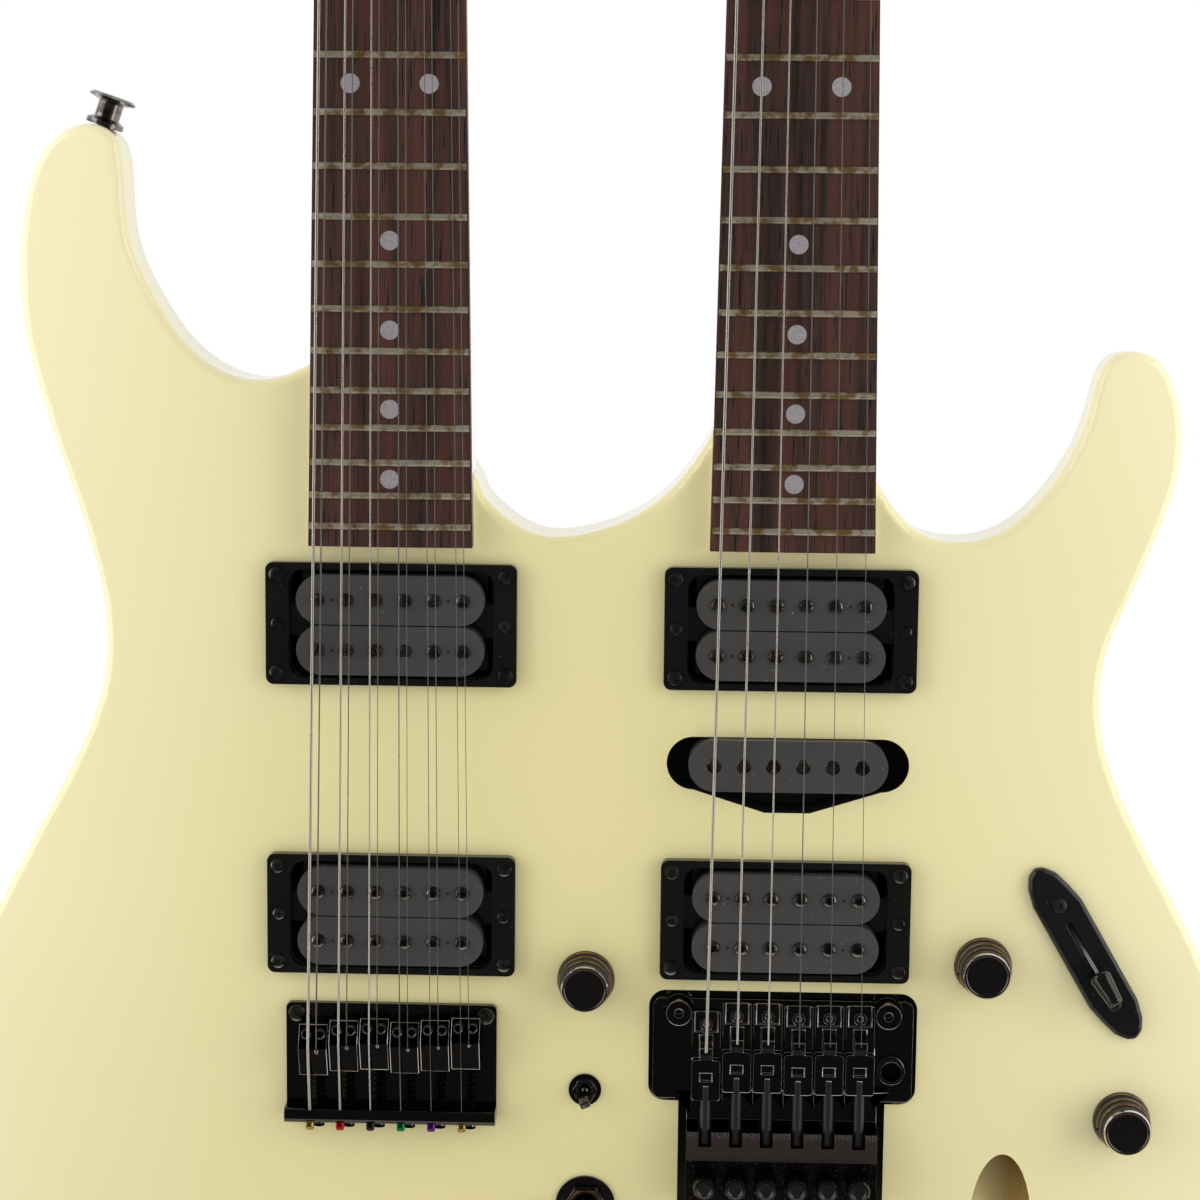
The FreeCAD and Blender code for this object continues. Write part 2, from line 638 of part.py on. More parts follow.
def single_route():
    """The open middle route: a slot with a shallow three-sided bulge below it."""
    x, z = NECKS["six"], saddle_z + size.single_rise
    length, width = size.single_route_length, size.single_width
    slot = stadium(length, width, size.single_route_depth + size.overrun,
                   Vector(x, face_y - size.overrun, z))
    low, flat = -width / 2, size.single_bulge_flat / 2
    wide = length / 2 - width / 2
    points = [Vector(x - wide, 0, z), Vector(x + wide, 0, z), Vector(x + wide, 0, z + low),
              Vector(x + flat, 0, z + low - size.single_bulge),
              Vector(x - flat, 0, z + low - size.single_bulge), Vector(x - wide, 0, z + low)]
    bulge = prism(points, size.single_route_depth + size.overrun)
    bulge.translate(Y * (face_y - size.overrun))
    return slot.fuse(bulge).removeSplitter()


def tremolo_rooms():
    wide = size.tremolo_half + size.recess_clear
    tail = size.tail_half + size.recess_tail_clear
    front = saddle_z + size.recess_front
    shoulder = saddle_z - size.tremolo_shoulder - size.recess_clear
    recess = front_block(tremolo_x, wide, shoulder, front, size.recess_depth, size.recess_corner)
    tail_room = front_block(tremolo_x, tail, saddle_z - size.recess_tail_end,
                            shoulder + 2 * size.recess_corner, size.recess_depth,
                            size.recess_corner)
    side = size.block_half + size.block_room_side
    through = block(tremolo_x - side, tremolo_x + side, face_y, back_y + size.overrun,
                    saddle_z - size.block_room_rear, saddle_z - size.block_room_front)
    springs = block(tremolo_x - size.spring_room_half, tremolo_x + size.spring_room_half,
                    back_y - size.spring_room_depth, back_y + size.overrun,
                    saddle_z - size.block_room_front - size.overrun,
                    saddle_z + size.spring_room_top)
    return [recess, tail_room, rounded(through, size.ring_corner, Y), springs]


def control_rooms():
    centre = block(-size.centre_room_half, size.centre_room_half, face_y + size.front_wall,
                   back_y + size.overrun, saddle_z - size.centre_room_low,
                   saddle_z + size.centre_room_high)
    side = prism(side_room_points(0), size.body_thick)
    side.translate(Y * (face_y + size.side_room_front))
    return [rounded(centre, size.cover_corner, Y), rounded(side, size.cover_corner, Y)]


def cover_recesses():
    grown = cover_outlines(size.cover_slip)
    extra = size.overrun
    return [cover_band(outline, size.cover_thick + extra, -extra) for outline in grown]


KNOBS = {
    "volume_knob_twelve": ("size.twelve_knob_x", "size.twelve_knob_z"),
    "volume_knob_six": ("size.six_volume_x", "size.six_volume_z"),
    "tone_knob_six": ("size.six_tone_x", "size.six_tone_z"),
}


def knob_place(name):
    """Seat of a control on the front face, with Z pointing out of the face."""
    x, z = (float(sheet.evalExpression(e)) for e in KNOBS[name])
    turn = Rotation(Z, front_slope(x)).multiply(Rotation(X, 90))
    return Placement(Vector(x, front_surface_y(x), saddle_z + z), turn)


def control_holes():
    holes = []
    for name in KNOBS:
        place = knob_place(name)
        shank = Part.makeCylinder(size.pot_bushing_radius + size.slip, size.body_thick / 2,
                                  Z * -size.body_thick / 4)
        can = Part.makeCylinder(size.pot_room, size.pot_height + size.overrun,
                                Z * -(size.pot_wall + size.pot_height + size.overrun))
        holes += [shank.transformed(place.toMatrix()), can.transformed(place.toMatrix())]
    for x, z, radius in ((size.toggle_x, size.toggle_z, size.toggle_bushing),
                         (size.selector_x, size.selector_z, size.selector_bushing)):
        seat = Vector(x, face_y - size.overrun, saddle_z + z)
        holes.append(rod(radius + size.slip, seat, seat + Y * 2 * size.front_wall))
    return holes


def blade_room():
    half, width = size.blade_housing_half, size.blade_housing_width / 2
    shape = block(-width, width, -size.overrun * 3, size.blade_housing_depth, -half, half)
    return shape.transformed(blade_place.toMatrix())


# The jack's own frame has Z out of its mouth, down and out of the face
jack_turn = Rotation(X, 180 - size.scoop_tilt)
jack_mouth = Vector(size.scoop_x, front_surface_y(size.scoop_x) + size.scoop_sink,
                    saddle_z + size.scoop_z)
jack_place = Placement(jack_mouth, jack_turn)


def scoop_tools():
    """A round-bottomed trough that runs out of the face, and the jack's hole in its end wall."""
    trough = Part.makeCylinder(size.scoop_radius, size.scoop_length)
    hole = Part.makeCylinder(size.jack_radius + size.slip, size.jack_length + size.overrun,
                             Z * -(size.jack_length + size.overrun))
    return [s.transformed(jack_place.toMatrix()) for s in (trough, hole)]


def button_places():
    """Seats of the end button and the horn button, with Z pointing away from the wood."""
    lean = math.radians(size.button_lean)
    away = Vector(math.sin(lean), 0, math.cos(lean))
    rim = [p for run in outline_curves(size.body_width, size.body_length)
           for p in run.toShape().discretize(Number=40) if p.x < NECKS["twelve"]]
    horn = max(rim, key=lambda p: p.dot(away)) + Y * size.horn_button_y
    return [Placement(ORIGIN, Rotation(X, 180)),
            Placement(horn, Rotation(Y, size.button_lean))]


def screw_holes():
    radius = size.screw_shank + size.slip
    holes = [rod(radius, p, p + Y * (size.screw_length + size.overrun))
             for p in ring_screw_places() + bridge_screw_places()]
    direction = blade_turn.multVec(Y)
    holes += [rod(radius, p, p + direction * (size.screw_length + size.overrun))
              for p in blade_screw_places()]
    for place in cover_screw_places():
        normal = back_normal(place.x)
        holes.append(rod(radius, place + normal * size.overrun,
                         place - normal * (size.screw_length + size.overrun)))
    for place in button_places():
        hole = Part.makeCylinder(size.button_screw + size.slip, size.button_screw_length,
                                 Z * -(size.button_screw_length - size.overrun))
        holes.append(hole.transformed(place.toMatrix()))
    return holes


# Heights of each neck's bolts as shares of the heel block, left pair and right pair
BOLT_SHARES = {"twelve": ((0.12, 0.60), (0.12, 0.32)), "six": ((0.12, 0.42), (0.12, 0.28))}


def neck_bolt_places():
    """Four bolts behind each neck joint, nearer together where the body is shorter."""
    places = []
    for key, pairs in BOLT_SHARES.items():
        for side, shares in zip((-1, 1), pairs):
            x = NECKS[key] + side * size.nut_width / 3
            places += [Vector(x, back_y, heel_z + share * size.heel_block_rise)
                       for share in shares]
    return places


def bolt_holes():
    holes = []
    for place in neck_bolt_places():
        holes.append(rod(size.bolt_radius + size.slip, place + Y * size.overrun,
                         place - Y * size.body_thick / 2 - Y * size.pocket_depth))
        holes.append(rod(size.ferrule_radius + size.slip, place + Y * size.overrun,
                         place - Y * size.ferrule_thick))
    return holes


def stud_places():
    return [Vector(tremolo_x + s * size.stud_spread / 2, face_y, saddle_z + size.pivot_rise)
            for s in (-1, 1)]


def stud_holes():
    floor = size.recess_depth
    return [rod(size.anchor_radius + size.slip, p + Y * (floor - size.overrun),
                p + Y * (floor + size.anchor_depth)) for p in stud_places()]


def claw_screw_holes():
    y = back_y - size.spring_room_depth / 2 - size.cover_thick / 2
    top = saddle_z + size.spring_room_top
    return [rod(size.claw_screw_radius + size.slip,
                Vector(tremolo_x + s * size.claw_screw_spread / 2, y, top - size.overrun),
                Vector(tremolo_x + s * size.claw_screw_spread / 2, y,
                       top + size.claw_screw_bite)) for s in (-1, 1)]


hollows = [neck_pocket(x) for x in NECKS.values()] + pickup_routes() + [single_route()]
hollows += tremolo_rooms() + control_rooms() + cover_recesses() + control_holes()
hollows += [blade_room()] + scoop_tools() + screw_holes() + bolt_holes() + stud_holes()
hollows += claw_screw_holes()
cavities = shaped("body_hollows", hollows[0].fuse(hollows[1:]))
keep("body", cut("carved_body", blank, cavities))


# Necks: a tapered shaft with a half-round back, a heel block and a tilted headstock

def d_section(x, half, depth, z):
    """Half an ellipse behind a straight front edge."""
    left, right = Vector(x - half, neck_top_y, z), Vector(x + half, neck_top_y, z)
    ellipse = Part.Ellipse(Vector(x, neck_top_y, z), max(half, depth), min(half, depth))
    curve = ellipse.toShape(0, math.pi)
    return Part.Wire([curve, Part.LineSegment(curve.Vertexes[-1].Point,
                                              curve.Vertexes[0].Point).toShape()])


def neck_shaft(x, nut_length):
    top = d_section(x, neck_half_width(0), size.nut_end_depth, nut_z + nut_length)
    low_z = heel_z + size.heel_block_rise - size.heel_curve
    low = d_section(x, neck_half_width(nut_z - low_z), size.heel_depth, low_z)
    return Part.makeLoft([top, low], True, True)


def heel_block(x):
    depth = pocket_floor_y - neck_top_y
    outline = neck_outline(x, 0, heel_z, heel_z + size.heel_block_rise)
    stock = prism(outline, depth)
    stock.translate(Y * neck_top_y)
    back_top = [e for e in stock.Edges if runs_along(e, X)
                and e.Vertexes[0].Z > heel_z + size.overrun and e.Vertexes[0].Y > neck_top_y + size.overrun]
    return stock.makeChamfer(depth / 2, back_top) if back_top else stock


def head_place(x, nut_length):
    """Frame of a tilted headstock: Z up its face, its front at y = 0."""
    return Placement(Vector(x, neck_top_y, nut_z + nut_length), Rotation(X, -size.head_tilt))


# Headstock outlines as shares of their own half widths and length
TWELVE_HEAD_SHARES = [(-0.571, 0.0), (-0.600, 0.03), (-0.90, 0.105), (-0.98, 0.20),
                      (-1.00, 0.92), (-0.86, 0.975), (-0.40, 1.0), (0.0, 0.972),
                      (0.40, 1.0), (0.86, 0.975), (1.00, 0.92), (0.98, 0.20),
                      (0.90, 0.105), (0.600, 0.03), (0.571, 0.0)]
SIX_HEAD_SHARES = [(-0.748, 0.0), (-0.79, 0.03), (-1.00, 0.10), (-1.00, 0.93),
                   (-0.72, 1.00), (0.10, 0.965), (0.62, 0.83), (0.80, 0.55),
                   (0.86, 0.28), (0.98, 0.12), (0.84, 0.04), (0.80, 0.0)]


def headstock(shares, left, right, length):
    points = [Vector(x * (right if x > 0 else left), 0, z * length) for x, z in shares]
    stock = prism(points, size.head_thick)
    upright = [e for e in stock.Edges if runs_along(e, Y) and e.Vertexes[0].Z > size.fret_width]
    stock = stock.makeFillet(size.head_edge_round * 2, upright)
    return stock


def post_places(key):
    """Tuning posts in the headstock's own frame, with the side that the key points to."""
    if key == "six":
        return [(Vector(-size.six_post_offset, 0, size.six_post_first + i * size.six_post_pitch),
                 -1) for i in range(6)]
    return [(Vector(side * size.twelve_post_offset, 0,
                    size.twelve_post_first + i * size.twelve_post_pitch), side)
            for side in (-1, 1) for i in range(6)]


NUT_LENGTHS = {"twelve": size.nut_length, "six": size.lock_nut_length}
HEADS = {
    "twelve": (TWELVE_HEAD_SHARES, size.twelve_head_half, size.twelve_head_half,
               size.twelve_head_length),
    "six": (SIX_HEAD_SHARES, size.six_head_left, size.six_head_right, size.six_head_length),
}


def truss_rod(x, grow=0.0):
    y = neck_top_y + size.truss_depth
    return rod(size.truss_radius + grow, Vector(x, y, heel_z + size.truss_inset - grow),
               Vector(x, y, nut_z - size.truss_inset + grow))


for key, x in NECKS.items():
    place = head_place(x, NUT_LENGTHS[key])
    head = headstock(*HEADS[key])
    holes = [rod(size.post_radius + size.slip, p - Y * size.overrun,
                 p + Y * (size.head_thick + size.overrun)) for p, side in post_places(key)]
    head = compound_cut(head, holes).transformed(place.toMatrix())
    groove = block(x - size.truss_radius, x + size.truss_radius, neck_top_y - size.overrun,
                   neck_top_y + size.truss_depth, heel_z + size.truss_inset,
                   nut_z - size.truss_inset)
    shelf = [truss_rod(x, size.slip), groove]
    neck = neck_shaft(x, NUT_LENGTHS[key]).fuse([heel_block(x), head])
    bolts = [rod(size.bolt_radius + size.slip, Vector(p.x, pocket_floor_y + size.overrun, p.z),
                 Vector(p.x, back_y - size.ferrule_thick - size.bolt_length - size.slip, p.z))
             for p in neck_bolt_places() if abs(p.x - x) < size.nut_width]
    neck = compound_cut(neck, shelf + bolts).removeSplitter()
    keep("neck_" + key, shaped("neck_shape_" + key, neck))
keep("truss_rods", group("truss_rod_pair", [truss_rod(x) for x in NECKS.values()]))


# Fretboards, inlay dots and frets share the board's crown

def crown(x, proud=0.0):
    """The round form that the board's playing face lies on."""
    centre_y = board_y + size.board_radius
    return Part.makeCylinder(size.board_radius + proud, size.scale_length,
                             Vector(x, centre_y, heel_z - size.overrun), Z)


SINGLE_DOTS = (3, 5, 7, 9, 15, 17, 19, 21)


def dot_places(x):
    places = []
    for fret in SINGLE_DOTS + (12,):
        z = nut_z - (fret_distance(fret) + fret_distance(fret - 1)) / 2
        if fret == 12:
            spread = size.double_dot_spread / 2
            places += [Vector(x - spread, board_y, z), Vector(x + spread, board_y, z)]
        else:
            places.append(Vector(x, board_y, z))
    return places


def dot(place, grow, x):
    start = place - Y * size.overrun
    return rod(size.dot_radius + grow, start, place + Y * size.dot_depth).common(crown(x))


def fretboard(x):
    stock = prism(neck_outline(x, 0, heel_z, nut_z), size.board_thick)
    stock.translate(Y * board_y)
    crowned = stock.common(crown(x))
    holes = [rod(size.dot_radius + size.slip, p - Y * size.overrun, p + Y * size.dot_depth)
             for p in dot_places(x)]
    return compound_cut(crowned, holes)


def fret(x, number):
    """A crowned wire bent to the board's radius."""
    distance = fret_distance(number)
    z = nut_z - distance
    reach = size.board_radius + size.slip
    centre = Vector(x, board_y + size.board_radius, z)
    half = size.fret_width / 2
    low, top = centre - Y * reach, centre - Y * (reach + size.fret_height)
    arc = Part.Arc(low - Z * half, top, low + Z * half).toShape()
    base = Part.LineSegment(low + Z * half, low - Z * half).toShape()
    half_angle = math.degrees((neck_half_width(distance) - size.fret_end_inset) / reach)
    profile = Part.Face(Part.Wire([arc, base]))
    profile.rotate(centre, Z, -half_angle)
    return profile.revolve(centre, Z, 2 * half_angle)


keep("fretboards", group("fretboard_pair", [fretboard(x) for x in NECKS.values()]))
keep("inlay_dots", group("inlay_dot_set", [dot(p, 0, x) for x in NECKS.values()
                                           for p in dot_places(x)]))
keep("frets", group("fret_set", [fret(x, n) for x in NECKS.values()
                                 for n in range(1, int(size.fret_count) + 1)]))


# String lines: shares of the heaviest string's diameter, from bass to treble
SIX_GAUGE_SHARES = (1.0, 0.76, 0.57, 0.38, 0.27, 0.22)
PAIR_GAUGE_SHARES = (0.50, 0.38, 0.28, 0.25, 0.27, 0.22)


def string_lines(key):
    """For each string: its radius, its offset at the saddle and its offset at the nut."""
    lines = []
    for i in range(6):
        step = i - 2.5
        if key == "six":
            radius = size.heaviest_string * SIX_GAUGE_SHARES[i] / 2
            lines.append((radius, step * size.string_pitch_saddle, step * size.string_pitch_nut))
            continue
        for side, shares in ((-1, SIX_GAUGE_SHARES), (1, PAIR_GAUGE_SHARES)):
            radius = size.heaviest_string * shares[i] / 2
            lines.append((radius, step * size.course_pitch_saddle + side * size.pair_gap_saddle / 2,
                          step * size.course_pitch_nut + side * size.pair_gap_nut / 2))
    return lines


string_nut_y = board_y - size.string_rise_nut
string_saddle_y = board_y - size.string_rise_saddle
string_half = size.heaviest_string / 2
# The saddles' tops stay clear under the thickest string
saddle_top_y = string_saddle_y + string_half + size.slip


def string_post(key, index):
    """The post that a string winds on, as an index into post_places."""
    if key == "six":
        return index
    return index if index < 6 else 6 + (11 - index)


# How far back each saddle is set, as shares of the largest step
PAIR_STEP_SHARES = (1.0, 0.5, 0.25, 0.6, 0.3, 0.0)
LOCK_STEP_SHARES = (1.0, 0.0, 0.0, 0.2, 0.12, 0.08)


def pair_crest(course):
    """The height up the neck at which a course of the fixed bridge leaves its saddle."""
    return saddle_z - size.pair_crest_drop - size.pair_step * PAIR_STEP_SHARES[course]


def lock_crest(course):
    return saddle_z - size.lock_step * LOCK_STEP_SHARES[course]


def string_break(key, index):
    """Where a string bends over its saddle."""
    at_saddle = string_lines(key)[index][1]
    z = pair_crest(index // 2) if key == "twelve" else lock_crest(index)
    return Vector(NECKS[key] + at_saddle, string_saddle_y, z)


def string_anchor(index):
    """Where a string of the fixed bridge starts: in the rear wall, or in its saddle."""
    bend = string_break("twelve", index)
    if index % 2:
        return bend + Vector(0, size.pair_string_dive, -size.pair_string_dive)
    return Vector(bend.x, face_y - size.string_hole_rise,
                  saddle_z - size.bridge_rear + size.seat_gap)


def string_wire(key, index):
    x = NECKS[key]
    radius, at_saddle, at_nut = string_lines(key)[index]
    nut_length = NUT_LENGTHS[key]
    post, side = post_places(key)[string_post(key, index)]
    inner = -1 if side > 0 else 1
    hang = post + X * inner * (size.post_radius + radius + 4 * size.slip)
    hang -= Y * (size.post_height * size.winding_share)
    points = [string_break(key, index), Vector(x + at_nut, string_nut_y, nut_z),
              Vector(x + at_nut, string_nut_y, nut_z + nut_length),
              head_place(x, nut_length).multVec(hang)]
    if key == "twelve":
        points.insert(0, string_anchor(index))
    legs = [rod(radius, start, end) for start, end in zip(points, points[1:])]
    knees = [Part.makeSphere(radius, point) for point in points[1:-1]]
    return legs[0].fuse(legs[1:] + knees).removeSplitter()


for key, count in (("twelve", 12), ("six", 6)):
    wires = [string_wire(key, i) for i in range(count)]
    keep("strings_" + key, group("string_set_" + key, wires))


# Nuts

def slotted_nut():
    x = NECKS["twelve"]
    half = neck_half_width(0)
    stock = block(x - half, x + half, neck_top_y - size.nut_rise, neck_top_y, nut_z,
                  nut_z + size.nut_length)
    slots = []
    for radius, at_saddle, at_nut in string_lines("twelve"):
        wide = radius + size.slip
        slots.append(block(x + at_nut - wide, x + at_nut + wide,
                           neck_top_y - size.nut_rise - size.overrun, string_nut_y + wide,
                           nut_z - size.overrun, nut_z + size.nut_length + size.overrun))
    return compound_cut(stock, slots)


def locking_nut():
    """A base, three clamps and their bolts, with the strings between."""
    x = NECKS["six"]
    half = neck_half_width(0) - size.slip
    base_top = string_nut_y + string_half + size.slip
    base = block(x - half, x + half, base_top, neck_top_y, nut_z, nut_z + size.lock_nut_length)
    clamp_y = string_nut_y - string_half - size.slip
    middle = nut_z + size.lock_nut_length / 2
    pieces = []
    bores = []
    for i in (-1, 0, 1):
        cx = x + i * size.clamp_pitch
        clamp = block(cx - size.clamp_width / 2, cx + size.clamp_width / 2,
                      clamp_y - size.clamp_thick, clamp_y, middle - size.clamp_length / 2,
                      middle + size.clamp_length / 2)
        seat = Vector(cx, clamp_y - size.clamp_thick - size.clamp_bolt_proud, middle)
        foot = Vector(cx, neck_top_y - size.board_thick / 6, middle)
        bores.append(rod(size.clamp_bolt_radius / 2 + size.slip, seat, foot))
        clamp = rounded(clamp, size.clamp_bolt_proud, Z)
        clamp = clamp.cut(rod(size.clamp_bolt_radius / 2 + size.slip, seat, foot))
        head = rod(size.clamp_bolt_radius, seat, seat + Y * size.clamp_bolt_proud)
        shank = rod(size.clamp_bolt_radius / 2, seat, foot)
        pieces += [clamp, head.fuse(shank).removeSplitter()]
    return [compound_cut(base, bores)] + pieces


keep("nut_twelve", shaped("slotted_nut", slotted_nut()))
keep("locking_nut", group("locking_nut_set", locking_nut()))


# Tuning machines: housing and post are fixed, and each key turns on its own shaft

def machine(place, post, side):
    """A sealed housing behind the headstock with its post and bushing."""
    back = size.head_thick
    half_w, half_l = size.housing_width / 2, size.housing_length / 2
    case = block(post.x - half_w, post.x + half_w, back, back + size.housing_depth,
                 post.z - half_l, post.z + half_l)
    case = rounded(case, size.housing_round, Y)
    bore_y = back + size.housing_depth / 2
    mouth = post.x + side * half_w
    bore = rod(size.key_shaft_radius + size.slip,
               Vector(mouth + side * size.overrun, bore_y, post.z),
               Vector(mouth - side * (size.key_insertion + size.slip), bore_y, post.z))
    stem = rod(size.post_radius, Vector(post.x, -size.post_height, post.z),
               Vector(post.x, back, post.z))
    ring = rod(size.bushing_radius, Vector(post.x, -size.bushing_height, post.z),
               Vector(post.x, 0, post.z))
    solid = case.cut(bore).fuse([stem, ring]).removeSplitter()
    return solid.transformed(place.toMatrix())


machines = []
key_number = {"twelve": 0, "six": 0}
for key, x in NECKS.items():
    place = head_place(x, NUT_LENGTHS[key])
    for post, side in post_places(key):
        machines.append(machine(place, post, side))
        key_number[key] += 1
        name = f"tuner_key_{key}_{key_number[key]}"
        bore_y = size.head_thick + size.housing_depth / 2
        root = post.x + side * (size.housing_width / 2 - size.key_insertion)
        reach = size.key_insertion + size.key_shaft_reach
        start = Vector(root, bore_y, post.z)
        shaft = doc.addObject("Part::Cylinder", name + "_shaft")
        shaft.setExpression("Radius", "size.key_shaft_radius")
        shaft.setExpression("Height", "size.key_insertion + size.key_shaft_reach")
        shaft.Placement = place.multiply(Placement(start, Rotation(Y, 90 * side)))
        grip = doc.addObject("Part::Ellipsoid", name + "_grip")
        grip.setExpression("Radius1", "size.key_height / 2")
        grip.setExpression("Radius2", "size.key_length / 2")
        grip.setExpression("Radius3", "size.key_thick / 2")
        middle = start + X * side * (reach + size.key_height / 2 - size.slip * 10)
        grip.Placement = place.multiply(Placement(middle, Rotation(Y, 90).multiply(
            Rotation(Z, 90))))
        keep(name, fuse(name + "_piece", [shaft, grip]))
keep("tuner_housings", group("tuner_housing_set", machines))


# Pickups

ring_bodies = []
for number, (x, z) in enumerate(ring_centres()):
    name = f"ring_{number}"
    outer = plate(name, rectangle("size.ring_width / 2", "-size.ring_length / 2",
                                  "size.ring_length / 2"),
                  "size.ring_thick", corner_round="size.ring_corner")
    opening = plate(name + "_opening",
                    rectangle("size.ring_open_width / 2", "-size.ring_open_length / 2",
                              "size.ring_open_length / 2"),
                    "size.ring_thick + 2 * size.overrun", y="-size.overrun",
                    corner_round="size.ring_open_corner")
    ring_bodies.append((cut(name + "_frame", outer, opening), x, z))
doc.recompute()


def placed_rings():
    radius = size.screw_shank + size.slip
    rings = []
    for ring, x, z in ring_bodies:
        shape = ring.Shape.copy()
        shape.translate(Vector(x, face_y - size.ring_thick, z))
        drills = [rod(radius, p - Y * size.overrun, p + Y * (size.ring_thick + size.overrun))
                  for p in ring_screw_places() + height_screw_places()
                  if abs(p.x - x) < size.ring_width and abs(p.z - z) < size.ring_length]
        rings.append(compound_cut(shape, drills))
    return rings


keep("pickup_rings", group("pickup_ring_set", placed_rings()))

coil_top_y = face_y - size.coil_proud
coil_low_y = coil_top_y + size.coil_depth
coil_offset = (size.coil_width + size.coil_gap) / 2


def pole_places(x, z, pitch):
    return [Vector(x + (i - 2.5) * pitch, coil_top_y, z) for i in range(6)]


def coils(x, z):
    """Two slot-shaped bobbins on a base plate whose ears hang on the height screws."""
    pieces = []
    for side in (-1, 1):
        row = z + side * coil_offset
        shape = stadium(size.coil_length, size.coil_width, size.coil_depth,
                        Vector(x, coil_top_y, row))
        holes = [rod(size.pole_radius + size.slip, p - Y * size.overrun,
                     p + Y * size.pole_depth) for p in pole_places(x, row, size.pole_pitch)]
        pieces.append(compound_cut(shape, holes))
    half = size.coil_length / 2
    across = coil_offset + size.coil_width / 2
    base = block(x - half, x + half, coil_low_y, coil_low_y + size.base_thick, z - across,
                 z + across)
    ear = block(x - size.ear_reach, x + size.ear_reach, coil_low_y,
                coil_low_y + size.base_thick, z - size.ear_width / 2, z + size.ear_width / 2)
    drills = [rod(size.screw_shank + size.slip, Vector(p.x, coil_low_y - size.overrun, p.z),
                  Vector(p.x, coil_low_y + size.base_thick + size.overrun, p.z))
              for p in height_screw_places() if abs(p.x - x) < size.ring_width]
    pieces.append(compound_cut(base.fuse(ear).removeSplitter(), drills))
    return pieces


single_top_y = face_y - size.single_proud
single_z = saddle_z + size.single_rise


def single_coil():
    depth = size.single_proud + size.single_route_depth
    shape = stadium(size.single_length, size.single_width - 2 * size.seat_gap, depth,
                    Vector(NECKS["six"], single_top_y, single_z))
    holes = [rod(size.rod_radius + size.slip, p - Y * size.overrun, p + Y * size.pole_depth)
             for p in single_rods()]
    return compound_cut(shape, holes)


def single_rods():
    return [Vector(NECKS["six"] + (i - 2.5) * size.rod_pitch, single_top_y, single_z)
            for i in range(6)]


def slotted_pole(place):
    slot = size.pole_radius / 3
    shape = rod(size.pole_radius, place - Y * size.pole_proud, place + Y * size.pole_depth)
    cutter = block(place.x - size.pole_radius, place.x + size.pole_radius,
                   place.y - size.overrun, place.y - size.pole_proud / 3,
                   place.z - slot / 2, place.z + slot / 2)
    return shape.cut(cutter)


all_coils = [piece for x, z in ring_centres() for piece in coils(x, z)] + [single_coil()]
keep("pickup_coils", group("pickup_coil_set", all_coils))
poles = [slotted_pole(p) for x, z in ring_centres() for side in (-1, 1)
         for p in pole_places(x, z + side * coil_offset, size.pole_pitch)]
poles += [rod(size.rod_radius, p - Y * size.slip, p + Y * size.pole_depth)
          for p in single_rods()]
keep("pickup_poles", group("pickup_pole_set", poles))


# Fixed bridge of the twelve-string neck

bridge_x = NECKS["twelve"]
bridge_front_y = face_y - size.bridge_base
wall_front = saddle_z - size.bridge_rear + size.bridge_wall
saddle_low_y = bridge_front_y - size.saddle_lift


def course_centre(course):
    return bridge_x + (course - 2.5) * size.course_pitch_saddle


def saddle_shift(course):
    return size.pair_step * PAIR_STEP_SHARES[course]


def intonation_line(course):
    """The screw through the rear wall into a saddle, under the course's second string."""
    x = course_centre(course) + size.pair_gap_saddle / 2
    y = bridge_front_y - size.intonation_height
    rear = saddle_z - size.pair_saddle_rear - saddle_shift(course)
    return (Vector(x, y, saddle_z - size.bridge_rear - size.seat_gap),
            Vector(x, y, rear + size.saddle_screw_spread))


def fixed_bridge():
    half = size.bridge_width / 2
    base = block(bridge_x - half, bridge_x + half, bridge_front_y, face_y,
                 saddle_z - size.bridge_rear, saddle_z + size.bridge_front)
    base = rounded(base, size.bridge_corner, Y)
    wall = block(bridge_x - half, bridge_x + half, face_y - size.bridge_wall_height, face_y,
                 saddle_z - size.bridge_rear, wall_front)
    wall = rounded(wall, size.bridge_corner, X)
    drills = [rod(size.screw_shank + size.slip, p - Y * size.overrun, p + Y * size.screw_length)
              for p in bridge_screw_places()]
    for course in range(6):
        start, end = intonation_line(course)
        drills.append(rod(size.intonation_radius + size.slip, start - Z, end))
    for index in range(0, 12, 2):
        radius = string_lines("twelve")[index][0]
        start = string_anchor(index)
        along = (string_break("twelve", index) - start).normalize()
        drills.append(rod(radius + 2 * size.slip, start - along * size.overrun,
                          start + along * (size.bridge_wall + 2 * size.overrun)))
    return compound_cut(base.fuse(wall), drills).removeSplitter()


def saddle_screw_centres(course):
    z = saddle_z + size.pair_saddle_front / 2 - saddle_shift(course)
    x = course_centre(course)
    return [Vector(x + s * size.saddle_screw_spread / 2, 0, z) for s in (-1, 1)]


